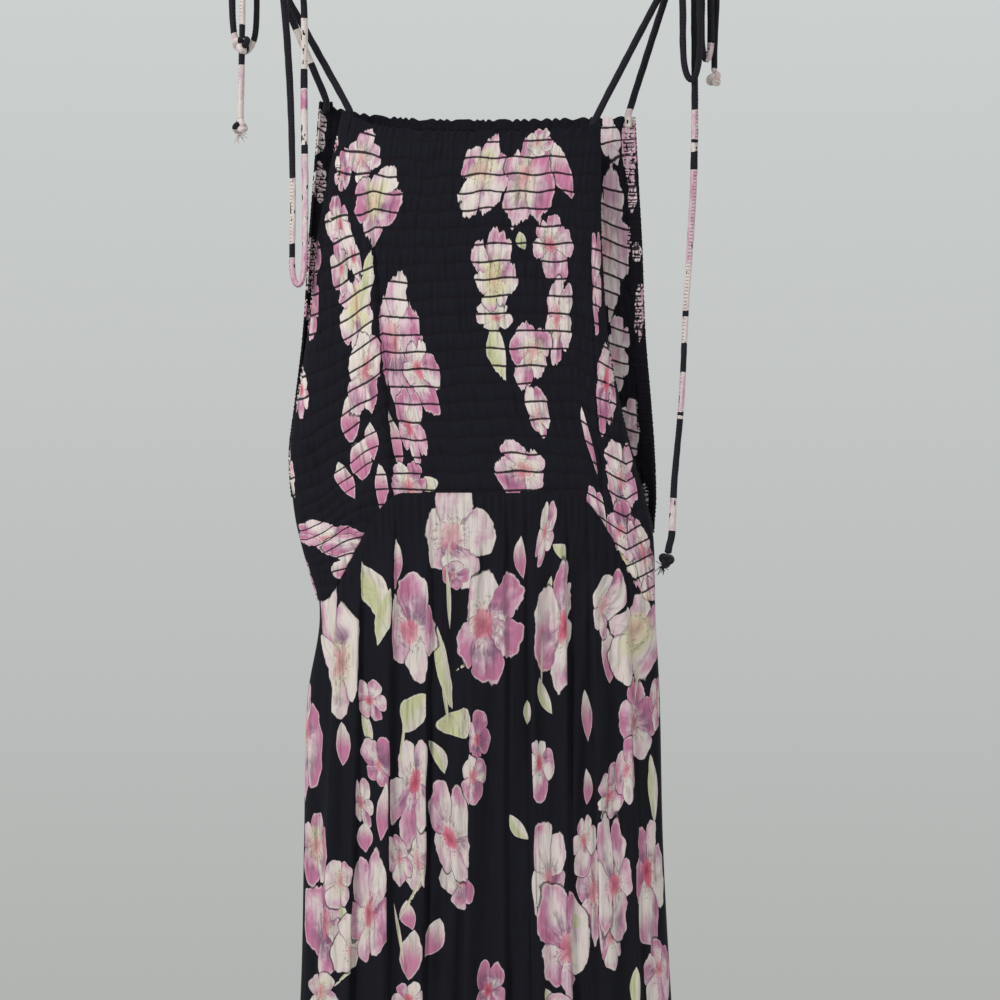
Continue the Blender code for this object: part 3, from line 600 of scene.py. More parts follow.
class Tree:
    """Short ways to add the nodes of one material, or of the world."""

    def __init__(self, name, kind="materials", shader="Principled BSDF"):
        self.owner = getattr(bpy.data, kind).new(name)
        self.owner.use_nodes = True
        self.nodes, self.links = self.owner.node_tree.nodes, self.owner.node_tree.links
        self.shader = self.nodes[shader]

    def give(self, socket, value):
        if isinstance(value, Value):
            self.links.new(value.socket, socket)
        elif isinstance(value, tuple) and len(socket.default_value) == 4:
            socket.default_value = (*value, 1)
        else:
            socket.default_value = value

    def finish(self, **inputs):
        """Sets the shader's sockets, named with _ for a space, and returns what the nodes belong to."""
        for name, value in inputs.items():
            self.give(self.shader.inputs[name.replace("_", " ")], value)
        return self.owner

    def node(self, kind, inputs=(), output=0, **settings):
        node = self.nodes.new("ShaderNode" + kind)
        for name, value in settings.items():
            setattr(node, name, value)
        for name, value in dict(inputs).items():
            self.give(node.inputs[name], value)
        return Value(self, node.outputs[output])

    def math(self, operation, *values):
        return self.node("Math", enumerate(values), operation=operation)

    def mix(self, share, a, b):
        return self.node("Mix", {0: share, 6: a, 7: b}, 2, data_type="RGBA", clamp_factor=True)

    def attribute(self, name, output="Vector"):
        return self.node("Attribute", (), output, attribute_name=name)

    def split(self, vector):
        node = self.nodes.new("ShaderNodeSeparateXYZ")
        self.give(node.inputs[0], vector)
        return [Value(self, socket) for socket in node.outputs]

    def noise(self, at, detail=2.0, roughness=0.5, scale=1.0):
        """Uneven values about 0.5. at is a vector, or its three parts."""
        if not isinstance(at, Value):
            at = self.node("CombineXYZ", enumerate(at))
        inputs = {"Vector": at, "Scale": scale, "Detail": detail, "Roughness": roughness}
        return self.node("TexNoise", inputs, "Fac")

    def step(self, value, low, high):
        """0 at low, 1 at high, smooth between."""
        inputs = {"Value": value, "From Min": low, "From Max": high}
        return self.node("MapRange", inputs, "Result", interpolation_type="SMOOTHSTEP")

    def bump(self, height, strength, distance):
        return self.node("Bump", {"Height": height, "Strength": strength, "Distance": distance}, "Normal")


def motif_colour(tree, number, cloth, jag, warp, row_step):
    """One layer of the print: how much it covers, its dark outline and its colour."""
    noise, step, mix, math_of = tree.noise, tree.step, tree.mix, tree.math
    place_x, place_y, lot = tree.split(tree.attribute("motif%d" % number))
    bloom, pink, warm = tree.split(tree.attribute("kind%d" % number))
    own = lot * 37.0
    soft = noise((cloth[0] * 64.0, cloth[1] * 44.0, own), 3.0) - 0.5
    other = noise((own, cloth[1] * 52.0, cloth[0] * 60.0)) - 0.5
    leaf_x = place_x + soft * warp + row_step
    leaf_y = place_y + other * warp + jag

    # A flower's heart lies off its middle, and the petals on the far side of it are longer.
    x = leaf_x + math_of("COSINE", own) * 0.18
    y = leaf_y + math_of("SINE", own) * 0.18
    radius = math_of("SQRT", x * x + y * y)
    angle = math_of("ARCTAN2", y, x)
    turned = angle + own
    turned = turned + math_of("SINE", turned + own) * 0.34
    petals = math_of("ROUND", lot) + 4.0
    wave = math_of("ABSOLUTE", math_of("COSINE", turned * petals * 0.5))
    turn = turned * petals * (0.5 / math.pi) + 0.5
    petal = math_of("FLOORED_MODULO", math_of("FLOOR", turn), petals)
    across = math_of("FRACT", turn) - 0.5
    petal_tone = noise((petal * 3.7, own, 0.0), 0.0) - 0.5
    rim = 0.66 + math_of("POWER", wave, 0.55) * 0.30 - math_of("COSINE", turned * 10.0) * 0.022
    rim = rim * (1.0 + math_of("COSINE", angle - own) * 0.20 + petal_tone * 0.30)
    flower = step(rim - radius, -0.010, 0.018)
    outline = step(rim - radius, -0.060, -0.035) * bloom

    # A leaf or bud is pointed at both ends and bent to one side.
    bent = leaf_x + (leaf_y * leaf_y - 0.4) * (lot - 0.5) * 0.8
    narrow = (1.0 - leaf_y * leaf_y) * 0.85
    leaf = step(narrow - math_of("ABSOLUTE", bent), -0.02, 0.03)
    cover = flower * bloom + leaf * (1.0 - bloom)

    # A petal is cream, with washes of pink that gather towards its rim and mauve ones near the middle.
    depth = radius / rim
    marks = noise((turned * 6.0, radius * 1.5, own), 3.0, 0.6) - 0.5
    blot = noise((x * 1.7, y * 1.7, own), 3.0) - 0.5
    wash = pink - 0.58 + petal_tone * 1.6 + across * 0.6 + blot * 2.6 + marks * 0.4
    wash = wash + (depth - 0.6) * pink * 1.1
    colour = mix(step(wash, -0.34, 0.26), CREAM, PALE_PINK)
    colour = mix(step(wash, 0.06, 0.66), colour, PINK)
    shade = other * 1.5 + marks * 0.9 + wash * 0.35
    colour = mix(step(shade, -0.10, 0.42) * step(depth, 1.0, 0.35) * 0.84, colour, MAUVE)
    colour = mix(step(wave, 0.15, 0.0) * step(radius, 0.14, 0.30) * 0.65, colour, MAUVE)
    colour = mix(step(depth, 0.935, 0.975) * 0.55, colour, CREAM)
    colour = mix(step(radius + blot * 0.9, 0.60, 0.34) * warm * 0.8, colour, YELLOW)
    clear = (1.0 - warm * 0.8) * (0.40 + lot * 0.55)
    colour = mix(step(radius + marks * 0.20, 0.30, 0.17) * clear, colour, CORAL)
    colour = mix(step(radius + marks * 0.30, 0.16, 0.04) * clear * 0.7, colour, DARK_HEART)
    dots = step(math_of("COSINE", turned * 26.0), 0.1, 0.5)
    dots = dots * step(math_of("ABSOLUTE", radius + marks * 0.14 - 0.33), 0.035, 0.015) * 0.6
    specks = step(noise((x * 15.0, y * 15.0, own), 1.0), 0.60, 0.65)
    specks = specks * step(radius, 0.48, 0.38) * step(radius, 0.16, 0.24) * 0.8
    colour = mix(math_of("MAXIMUM", dots, specks) * 0.65, colour, STAMEN)

    green = mix(step(bent + soft * 0.5, -0.25, 0.35) * (1.0 - warm * 0.45), LEAF, CREAM)
    rosy = mix(step(leaf_y + marks, -0.3, 0.8), PINK, CREAM)
    blade = mix(step(pink, 0.25, 0.45), green, rosy)
    blade = mix(step(marks + other * 0.5, 0.04, 0.26) * 0.40, blade, MAUVE)
    blade = mix(step(narrow - math_of("ABSOLUTE", bent), 0.16, 0.08) * 0.5, blade, CREAM)
    return cover, outline, mix(bloom, blade, colour)


def print_material(name, jagged, warp, wrong_side, thread=None, gathered=0.0, flecked=False, hemmed=False):
    """The printed rayon.

    jagged breaks the print's edges along the cloth's fine upright crinkles, and warp bends its
    outlines. thread gives the half width of a line of elastic as parts of a row, from solid to bare.
    flecked cloth is pleated so tightly that the print shows only in bits. hemmed cloth has a line of
    stitches above its lower edge.
    """
    tree = Tree(name)
    noise, step, mix = tree.noise, tree.step, tree.mix
    u, v, side = cloth = tree.split(tree.attribute("cloth"))
    crinkle = noise((u * 420.0, v * 26.0, side * 7.3), 2.0, 0.6)
    row_step, flecks = 0.0, 1.0
    if thread:
        row = tree.attribute("row", "Fac")
        row_step = (noise((tree.math("FLOOR", row) * 5.31, u * 8.0, 0.0), 0.0) - 0.5) * gathered
    if flecked:
        flecks = step(noise((row * 1.1, u * 330.0, 5.0), 2.0), 0.43, 0.50)
    colour, inked = NAVY, 0.0
    for number in range(LAYERS):
        jag = (crinkle - 0.5) * jagged
        cover, outline, ink = motif_colour(tree, number, cloth, jag, warp, row_step)
        colour = mix(outline * 0.75, colour, NAVY)
        cover = cover * flecks
        colour = mix(cover, colour, ink)
        inked = tree.math("MAXIMUM", inked, cover)
    fine = noise((u * 900.0, v * 70.0, 0.0), 2.0, 0.65)
    # Painted light and shade: darker streaks along the upright crinkles are painted shade, and the shirred
    # cloth is painted brighter than the gathered cloth, which is painted darker.
    crinkle_shade = step(noise((u * 300.0, v * 22.0, 3.0), 2.0, 0.6), 0.48, 0.74)
    light = (1.08 - crinkle_shade * 0.50 if thread else 0.95 - crinkle_shade * 0.32) + (fine - 0.5) * 0.40
    colour = tree.node("VectorMath", {0: colour, "Scale": light}, operation="SCALE")
    height = crinkle * 0.8 + fine * 0.3
    if wrong_side:
        # Partly painted light: the inner faces' print is washed paler as a wrong side is, and brighter to
        # lift the shade inside the panels.
        colour = mix(inked * 0.34, colour, PALE_WRONG_SIDE_AND_PAINTED_LIGHT)
    if hemmed:
        stitched = step(tree.math("ABSOLUTE", v - (HEM + 8.0) * MM), 0.0008, 0.0003)
        stitched = stitched * step(tree.math("COSINE", u * (2 * math.pi / 0.0026)), -0.5, 0.2)
        colour = mix(stitched * 0.8, colour, THREAD)
        height = height - stitched
    if thread:
        near = tree.math("ABSOLUTE", row - tree.math("ROUND", row))
        near = near + (noise((u * 240.0, row * 9.0, 0.0), 1.0) - 0.5) * 0.07
        line = step(near, thread[1], thread[0])
        colour = mix(line * 0.95, colour, THREAD)
        gathers = noise((u * 330.0, v * 16.0, tree.math("ROUND", row) * 5.0), 1.0)
        height = height + gathers * 1.3 - line * 0.5
    return tree.finish(
        Base_Color=colour, Roughness=0.84, Specular_IOR_Level=0.16, Sheen_Weight=0.02,
        Sheen_Roughness=0.5, Normal=tree.bump(height, 0.5, 0.0009),
    )


def tie_material(name, seed):
    """Rolled ties cut from the print: dark, or petals from cream to pink where the tie's tone says."""
    tree = Tree(name)
    noise, step, mix = tree.noise, tree.step, tree.mix
    along, around, tone = tree.split(tree.attribute("tie"))
    ring = (tree.math("COSINE", around) * 0.8, tree.math("SINE", around) * 0.8 + seed)
    patches = noise((along * 150.0, *ring)) - 0.5
    washes = noise((along * 60.0, ring[1], ring[0])) - 0.5
    petals = step(tone + patches * 1.3, -0.46, -0.38) * step(washes + patches * 0.7, -0.21, -0.16)
    tint = tone + patches * 1.5 + washes * 1.6
    ink = mix(step(tint, 0.05, 0.60), CREAM, PALE_PINK)
    ink = mix(step(tint, 0.60, 1.10), ink, PINK)
    ink = mix(step(washes - patches, 0.16, 0.34) * 0.6, ink, MAUVE)
    colour = mix(petals, NAVY, ink)
    pinch = tree.math("ABSOLUTE", tree.math("SINE", along * (math.pi / PINCH / MM)))
    seam_line = step(tree.math("COSINE", around - 4.0), 0.72, 0.90)
    colour = mix(seam_line * step(pinch, 0.42, 0.2) * 0.7, colour, (0.03, 0.015, 0.025))
    fine = noise((along * 900.0, around * 2.0, 0.0))
    colour = mix(step(fine, 0.52, 0.75) * 0.22, colour, MAUVE_GREY)
    normal = tree.bump(fine + seam_line * pinch * 0.9, 0.5, 0.0007)
    return tree.finish(
        Base_Color=colour, Roughness=0.8, Specular_IOR_Level=0.25, Sheen_Weight=0.04, Normal=normal
    )


# Cloth panels

def shares_and_bands(grid):
    columns, rows = grid
    share = np.linspace(0, 1, columns + 1)[None, :]
    band = np.linspace(0, 1, rows + 1)[:, None]
    return share, band


def bodice_cloth(sections, edge, folds, face):
    share, band = shares_and_bands(BODICE_GRID)
    upper = top_edge(*edge, share)
    lower = waist_height(share) + WAIST_HALF_GAP
    height = upper + (lower - upper) * band
    x, depth = section_points(sections, height[:, :1], height[:, -1:], share + 0 * band)
    inset = smooth(np.minimum(share, 1 - share) / 0.12)
    envelope = inset * smooth(band / 0.3) * smooth((1 - band) / 0.1)
    cloth = Cloth(x, depth + fold_lift(folds, x, band, envelope), height, face)
    grown = smooth(band / 0.4)
    cloth.tuck(folds, band, grown, grown)
    return cloth, share, band


DROOP_LEFT = 0.80           # how steeply the rows fall outwards beyond the front's left fold
DROOP_RIGHT = 0.62          # and beyond its right one
HEADER = 0.62               # of a row's spacing lies above the first row of elastic


def row_number(cloth, band, front):
    """Which row of elastic a point lies on: whole on a row, and between two rows in the puffs."""
    drop = cloth.height[0] - cloth.height
    ends = smooth(band / 0.1) * smooth((1 - band) / 0.1)
    if front:
        left = np.maximum(0, -92 + 24 * band - cloth.x)
        right = np.maximum(0, cloth.x - 88 - 8 * band)
        fall = DROOP_LEFT * left * (0.3 + 0.7 * smooth(band / 0.4)) * smooth((1.02 - band) / 0.22)
        turned_up = 1.7 * np.maximum(0, cloth.x - 136)
        fall = fall + DROOP_RIGHT * (right - turned_up) * smooth(band / 0.5)
        swing = 2.2 * smooth(1 - left / 30.0) * np.sin(cloth.x / 31.0 + 0.8)
    else:
        slope = -0.45 + 0.85 * smooth((band - 0.04) / 0.12) - 0.2 * smooth((band - 0.4) / 0.3)
        fall = slope * np.maximum(0, cloth.x - 104)
        swing = 0.0
    swing = swing + 0.9 * Wave(77, 44, 150)(cloth.x, cloth.height)
    drop = drop - fall * smooth(band / 0.12) + swing * ends
    return drop / ROW_SPACING - HEADER


def shirr(cloth, share, band, front, seed):
    """Raises the puffs between the rows of elastic and the gathers that run across them."""
    row = row_number(cloth, band, front)
    part = row - np.floor(row)
    puffed = np.maximum(0, 1 - (2 * part - 1) ** 2) ** 0.6
    uneven = 0.78 + 0.16 * Wave(seed, 40, 30)(cloth.across, cloth.height)
    edge = smooth(np.minimum(share, 1 - share) / 0.07)
    sway = Wave(seed + 1, 60, 44)(cloth.across, np.floor(row) * 17)
    gathers = 0.34 * np.sin(2 * np.pi * cloth.across / 6.6 + 2.2 * sway)
    lift = PUFF * puffed * np.clip(uneven, 0.4, 1.15) * edge + gathers * (0.35 + 0.65 * puffed) * edge
    return cloth.raised(np.where(row < 0, 0.3 * edge, lift)), row


def frill_top(cloth, seed):
    """The short heading above the first row of elastic, which scallops and flutes."""
    depth_down = cloth.height[0] - cloth.height
    near = smooth(1 - depth_down / (ROW_SPACING * HEADER))
    phase = cloth.across / 9.5 + 0.5 * Wave(seed, 50, 999)(cloth.across, 0)
    scallop = np.abs(np.sin(np.pi * phase))
    cloth.height = cloth.height + near * (2.6 * scallop - 1.4)
    cloth.depth = cloth.depth + near * (0.9 * np.sin(2 * np.pi * phase) + 0.6)


def build_cloth(name, node, cloth, placed, finishes, row=None, wall=SHELL, flip=False):
    """A thin shell on a panel, its right side outwards."""
    rows, columns = cloth.x.shape[0] - 1, cloth.x.shape[1] - 1
    faces = grid_faces(rows, columns, (cloth.face > 0) != flip)
    mesh = mesh_from(name, cloth.points().reshape(-1, 3), faces.tolist())
    side = np.full(cloth.x.shape, 0.0 if cloth.face < 0 else 3.0)
    flat = np.stack((cloth.across * MM, cloth.height * MM, side), axis=-1)
    set_attribute(mesh, "cloth", "POINT", flat.reshape(-1, 3))
    if row is not None:
        set_attribute(mesh, "row", "POINT", row.ravel())
    paint_motifs(mesh, cloth.across, cloth.height, placed)
    for finish in finishes:
        mesh.materials.append(finish)
    shell = add_piece(mesh, name, "print_rayon", node)
    solid = shell.modifiers.new("thickness", "SOLIDIFY")
    solid.thickness, solid.offset = wall * MM, -1
    solid.material_offset = 1
    solid.use_even_offset = False
    return shell


def add_panel(node, cloth, cut, placed, finishes, rests_on, row=None, drawn_in=1.0):
    """Builds a panel and works out its cut, of an area that the gathers add to by drawn_in."""
    shell = build_cloth(node + "_cloth", node, cloth, placed, finishes, row)
    widths = cut.across[:, -1] - cut.across[:, 0]
    falls = np.abs(np.gradient(cut.height[:, cut.x.shape[1] // 2]))
    width, length = float(widths.max()) * MM, float(np.ptp(cut.height)) * MM
    area = min(float((widths * falls).sum()) * MM * MM * drawn_in, width * length)


def make_bodice(finishes):
    """The two shirred panels. Returns each one's cloth before shirring, and its print."""
    made = {}
    for side, sections, edge, folds, face, seed in (
        ("front", BODICE_FRONT, (FRONT_TOP, FRONT_CORNERS, FRONT_DIP), BODICE_FOLDS, -1, 3),
        ("back", BODICE_BACK, (BACK_TOP, BACK_CORNERS, BACK_DIP), (), 1, 8),
    ):
        plain, share, band = bodice_cloth(sections, edge, folds, face)
        if side == "front":
            placed = chart_on(plain, BODICE_CHART, 1.06)
        else:
            placed = chart_on(plain, BACK_CHART, 1.0)
            placed += scatter(21, (-128, -690), (92, -375), 11, squeeze=0.62)
        shirred, row = shirr(plain, share, band, side == "front", seed)
        frill_top(shirred, seed + 5)
        add_panel("bodice_" + side, shirred, plain, placed, finishes, "hanger_bar", row, 1.06)
        made[side] = (plain, placed)
    return made


def turned_in(cloth, band):
    """Runs a gathered edge up behind the cloth that it is sewn to."""
    near = smooth(1 - band * (len(cloth.x) - 1) / 2.0)
    cloth.height = cloth.height + SEAM_TURN * near
    cloth.depth = cloth.depth - 2.0 * near


def skirt_cloth(folds, face, seed):
    share, band = shares_and_bands(SKIRT_GRID)
    top = waist_height(share) - WAIST_HALF_GAP
    height = top + (TIER_SEAM + HALF_GAP - top) * band
    side_top = float(waist_height(np.array(0.0))) - WAIST_HALF_GAP
    side = side_top + (TIER_SEAM + HALF_GAP - side_top) * band
    x, depth = section_points(SKIRT, side, side, share + 0 * band)
    inset = smooth(np.minimum(share, 1 - share) / 0.07)
    grown = smooth(band / 0.16) * (0.8 + 0.2 * band) * smooth((1 - band) / 0.1 + 0.35)
    lift = fold_lift(folds, x, band, inset * grown)
    cloth = Cloth(x, depth + lift, height, face)
    cloth.tuck(folds, band, 1.0, smooth(band / 0.06))
    turned_in(cloth, band)
    uneven = Wave(seed, 70, 260)(cloth.across, height)
    crease = 1.1 * Wave(seed + 1, 26, 420)(cloth.across, height) * inset * smooth(band / 0.2)
    gather = np.sin(2 * np.pi * cloth.across / 7.2 + 1.6 * uneven)
    gather = 0.75 * gather * inset * np.exp(-((top - height) / 46.0))
    return cloth.raised(crease + gather + 0.5 * uneven * inset * grown)


def tier_cloth(folds, offset, face, seed):
    share, band = shares_and_bands(TIER_GRID)
    height = TIER_SEAM - HALF_GAP + (HEM - TIER_SEAM + HALF_GAP) * band + 0 * share
    x, depth = section_points(TIER, height[:, :1], height[:, :1], share + 0 * band)
    inset = smooth(np.minimum(share, 1 - share) / 0.05)
    at_seam = fold_lift(folds, x, 1.0, inset * float(smooth(np.array(0.35))) * (1 - smooth(band / 0.3)))
    wave = np.cos(2 * np.pi * (TIER_WAVES * share + offset + 0.35 * np.sin(5 * share)))
    swell = (0.75 + 0.25 * np.sin(11 * share + offset)) * smooth(band / 0.35)
    lift = TIER_WAVE_DEPTH * 0.5 * (1 + wave) * swell * inset
    cloth = Cloth(x, depth + at_seam + lift, height, face)
    turned_in(cloth, band)
    uneven = Wave(seed, 60, 200)(cloth.across, height)
    gather = 0.9 * np.sin(2 * np.pi * cloth.across / 8.5 + 1.8 * uneven) * inset
    gather = gather * np.exp(-((TIER_SEAM - height) / 60.0))
    return cloth.raised(gather + 0.8 * uneven * inset * smooth(band / 0.2))


def make_skirts(finishes):
    for side, folds, offset, face, seed in (
        ("front", FRONT_FOLDS, 0.1, -1, 31),
        ("back", BACK_FOLDS, 0.6, 1, 41),
    ):
        skirt = skirt_cloth(folds, face, seed)
        if side == "front":
            placed = chart_on(skirt, SKIRT_CHART, 1.14) + scatter(51, (-200, -1165), (200, -1075), 5)
        else:
            placed = scatter(61, (-210, -1165), (210, -610), 24)
        add_panel("skirt_" + side, skirt, skirt, placed, finishes, "bodice_%s_cloth" % side)
        tier = tier_cloth(folds, offset, face, seed + 5)
        placed = scatter(seed + 40, (-250, -1600), (250, -1180), 26)
        add_panel("tier_" + side, tier, tier, placed, finishes, "skirt_%s_cloth" % side)


# Armhole edgings

EDGING_GRID = (8, 520)
EDGING_REACH = 15           # of the panel's columns that an edging lies on
PLEAT = 3.8                 # length of one pleat along the edge


def make_edging(name, node, cloth, placed, left, underarm, finishes, seed):
    """A narrow gathered band on the panel's points beside an armhole, pleated along its length."""
    columns, rows = EDGING_GRID
    at = slice(0, EDGING_REACH + 1) if left else slice(None, -EDGING_REACH - 2, -1)
    keep = cloth.height[:, 0 if left else -1] > underarm
    source = np.stack((cloth.x, cloth.depth, cloth.height, cloth.across), axis=-1)[keep][:, at]
    down = np.linspace(0, len(source) - 1, rows + 1)
    low = np.minimum(down.astype(int), len(source) - 2)
    part = (down - low)[:, None]
    rim, inner = (source[low, k] * (1 - part) + source[low + 1, k] * part for k in (0, -1))
    run = lengths_along(rim[:, :3])
    across = inner - rim
    across[:, 2] = 0
    level = across[:, :2] / np.linalg.norm(across[:, :2], axis=1)[:, None]
    normal = np.stack((-level[:, 1], level[:, 0]), axis=-1)
    normal[normal[:, 1] < 0] *= -1
    uneven = Wave(seed, 40, 999)(run, 0)
    phase = 2 * np.pi * run / PLEAT + 2.4 * uneven + 1.1 * Wave(seed + 9, 12, 999)(run, 0)
    turns, uneven = phase[:, None], uneven[:, None]
    swell = 0.42 + 0.22 * Wave(seed + 3, 14, 999)(run, 0)[:, None]
    share = np.linspace(0, 1, columns + 1)[None, :]
    free = np.abs(2 * share - 1) ** 1.5
    lift = 1.0 + (0.35 + 0.65 * free) * swell * np.sin(turns) + 0.6 * (1 - free)
    grid = rim[:, None] + across[:, None] * (share * (0.88 + 0.10 * uneven))[..., None]
    grid[..., :2] += normal[:, None] * lift[..., None]
    grid[..., :2] -= level[:, None] * (0.8 * free * (1 - share))[..., None]
    grid[..., 2] += 0.7 * np.cos(turns + 0.4) * (share - 0.5)
    band = Cloth(grid[..., 0], grid[..., 1], grid[..., 2], cloth.face)
    band.across = grid[..., 3]
    row = np.repeat(turns / (2 * np.pi), columns + 1, axis=1)
    build_cloth(name, node, band, placed, finishes, row, wall=0.6, flip=not left)


# Ties

def smooth_path(route, spacing):
    """Points at an even spacing on a smooth curve through a route's own points, ends kept straight."""
    route = np.array([tuple(p) for p in route], float)
    t = np.linspace(0, 1, 24, endpoint=False)[:, None]
    fine = []
    for k in range(1, len(route) - 2):
        p0, p1, p2, p3 = route[k - 1 : k + 3]
        square = (2 * p0 - 5 * p1 + 4 * p2 - p3) * t * t
        cube = (3 * p1 - p0 - 3 * p2 + p3) * t * t * t
        fine.append(0.5 * (2 * p1 + (p2 - p0) * t + square + cube))
    line = np.concatenate([route[:1], *fine, route[-2:]])
    run = lengths_along(line)
    even = np.linspace(0, run[-1], max(6, round(run[-1] / spacing)) + 1)
    return np.stack([np.interp(even, run, line[:, k]) for k in range(3)], axis=-1)


def frames_along(path, closed=False):
    """Two steady directions across a path at each of its points."""
    if closed:
        tangent = np.roll(path, -1, axis=0) - np.roll(path, 1, axis=0)
    else:
        tangent = np.gradient(path, axis=0)
    tangent /= np.linalg.norm(tangent, axis=1)[:, None]
    side = np.cross(tangent[0], (0.3, 1.0, 0.1))
    sides = []
    for way in tangent:
        side = side - way * side.dot(way)
        side = side / np.linalg.norm(side)
        sides.append(side)
    return np.array(sides), np.cross(tangent, sides)


def tube_mesh(
    name, path, radius, around=14, flat=1.0, wobble=0.0, seed=0, closed=False, twist=0.0, tones=-1.0
):
    """A tube along a path. flat below 1 presses it thinner one way, and twist turns that way along it."""
    side, up = frames_along(path, closed)
    run = lengths_along(path)
    angle = np.linspace(0, 2 * np.pi, around, endpoint=False)[None, :]
    if closed:
        uneven = 1 + wobble * np.sin(3 * np.linspace(0, 2 * np.pi, len(path))[:, None] + angle)
    else:
        uneven = 1 + wobble * Wave(seed, 24, 3.0)(run[:, None], angle)
    if flat < 1 and not closed:
        stitches = np.abs(np.cos(np.pi * run / PINCH))[:, None]
        uneven = uneven - 0.10 * smooth((np.cos(angle - 4.0) - 0.5) / 0.4) * stitches
    a = radius * np.cos(angle) * uneven
    b = radius * flat * np.sin(angle) * uneven
    ca, sa = np.cos(twist * run / 1000.0)[:, None], np.sin(twist * run / 1000.0)[:, None]
    u, v = a * ca - b * sa, a * sa + b * ca
    rings = path[:, None, :] + side[:, None, :] * u[..., None] + up[:, None, :] * v[..., None]
    points, faces = list(rings.reshape(-1, 3)), ring_faces(len(path), around, closed)
    along = np.broadcast_arrays(run[:, None] * MM, angle, np.broadcast_to(tones, len(path))[:, None])
    tie = list(np.stack(along, axis=-1).reshape(-1, 3))
    if not closed:
        for end, way in ((0, -1), (len(path) - 1, 1)):
            step = path[end] - path[end - way]
            first = end * around
            for i in range(around):
                faces.append((first + i, first + (i + 1) % around, len(points))[::-way])
            points.append(path[end] + step / np.linalg.norm(step) * radius * 0.45)
            tie.append((run[end] * MM, 0.0, tie[first][2]))
    mesh = mesh_from(name, points, faces)
    set_attribute(mesh, "tie", "POINT", tie)
    return mesh


def leave(knot, direction):
    """Where a tie leaves a bow's knot in a direction, and a point straight beyond."""
    way = Vector(direction).normalized()
    surface = way * KNOT_RADII
    normal = Vector([surface[k] / KNOT_RADII[k] ** 2 for k in range(3)]).normalized()
    start = knot + surface + normal * 0.5
    return start, start + normal * TIE * 0.7


def reach(knot, start):
    way = (Vector(start) - knot).normalized()
    return knot + way * (END_KNOT + TIE), knot + way * (END_KNOT + 0.3)


def tie_piece(name, label, path, nodes, twist):
    """A tie along a path, with petals where its chart has them and dark cloth between."""
    seed = list(TIE_PETALS).index(name) * 7 + 2
    share = np.linspace(0, 1, len(path))
    tones = np.full(len(path), -1.0)
    for start, end, pink in TIE_PETALS[name]:
        tones[(share >= start) & (share <= end)] = pink
    mesh = tube_mesh(name, path, TIE / 2, flat=0.84, wobble=0.03, seed=seed, twist=twist, tones=tones)
    mesh.materials.append(tie_material(name + "_cloth", float(seed)))
    return add_piece(mesh, label, "tie_rayon", *nodes)


LOOPS = (
    Route(
        "tie_left_long_loop",
        (LEFT_KNOT, (0.1, -0.95, 0.35)),
        (
            (-179, -21, -112), (-171, -26, -136), (-165, -26, -172), (-160, -26, -250),
            (-158, -26, -340), (-158.5, -26, -398), (-153.2, -26, -413), (-148, -26, -398),
            (-147, -26, -340), (-148, -26, -250), (-148, -26, -172), (-152, -25, -140),
            (-161, -17, -116),
        ),
        (LEFT_KNOT, (0.75, -0.65, 0.1)),
    ),
    Route(
        "tie_left_loop",
        (LEFT_KNOT, (-0.65, -0.75, 0.1)),
        (
            (-193, -16.5, -117), (-191.3, -19, -136), (-190.5, -19, -166), (-192.5, -19, -194),
            (-201, -19, -206), (-209.5, -19, -194), (-212, -19, -166), (-212, -15, -136),
            (-209, -8, -112),
        ),
        (LEFT_KNOT, (-0.95, 0.2, 0.25)),
    ),
    Route(
        "tie_right_loop",
        (RIGHT_KNOT, (-0.35, -0.9, 0.3)),
        (
            (180, -20, -114), (183.5, -25, -134), (185.7, -26, -166), (186, -26, -205),
            (188.5, -26, -225), (193.4, -26, -232), (198.2, -26, -225), (200.6, -26, -205),
            (200.6, -26, -166), (196, -26, -134), (190, -21, -115),
        ),
        (RIGHT_KNOT, (0.35, -0.9, 0.3)),
    ),
    Route(
        "tie_right_wide_loop",
        (RIGHT_KNOT, (0.6, -0.1, 0.8)),
        (
            (198, -6, -93), (204.5, -11, -101), (204.6, -15, -122), (203.6, -15.5, -166),
            (203.8, -15.5, -200), (207.4, -15.5, -213), (211, -15.5, -200), (211.2, -15.5, -166),
            (211.4, -15, -138), (211.6, -12, -118), (210, -4, -104), (204, 4, -101),
        ),
        (RIGHT_KNOT, (0.85, 0.5, 0.1)),
    ),
)
ENDS = (
    Route(
        "tie_right_short_end",
        (RIGHT_KNOT, (0.0, 0.3, 0.95)),
        (
            (191, 3, -89), (205, 1, -87), (216.5, -3, -95), (219.5, -5, -115),
            (217.5, -6, -150), (215.4, -6, -200),
        ),
        RIGHT_SHORT_KNOT,
        ("knot_right_short",),
    ),
    Route(
        "tie_right_long_end",
        (RIGHT_KNOT, (0.85, -0.5, 0.0)),
        (
            (195.5, -13.5, -116), (196, -16.5, -135), (196.3, -17, -166), (197, -17, -232),
            (197, -15, -280), (195.5, -11, -338), (190, -9, -426), (185.7, -8, -514),
            (179.5, -7, -585), (177.5, -7, -630),
        ),
        RIGHT_LONG_KNOT,
        ("knot_right_long",),
    ),
    Route(
        "tie_left_end",
        (LEFT_KNOT, (-0.3, -0.3, 0.9)),
        (
            (-191, -12, -94), (-198, -23, -103), (-201, -29.5, -125), (-201.8, -31, -160),
            LEFT_MIDDLE_KNOT, (-203, -31, -238),
        ),
        LEFT_END_KNOT,
        ("knot_left_middle", "knot_left_end"),
        ("tie_left_end_upper", "tie_left_end_lower"),
    ),
)
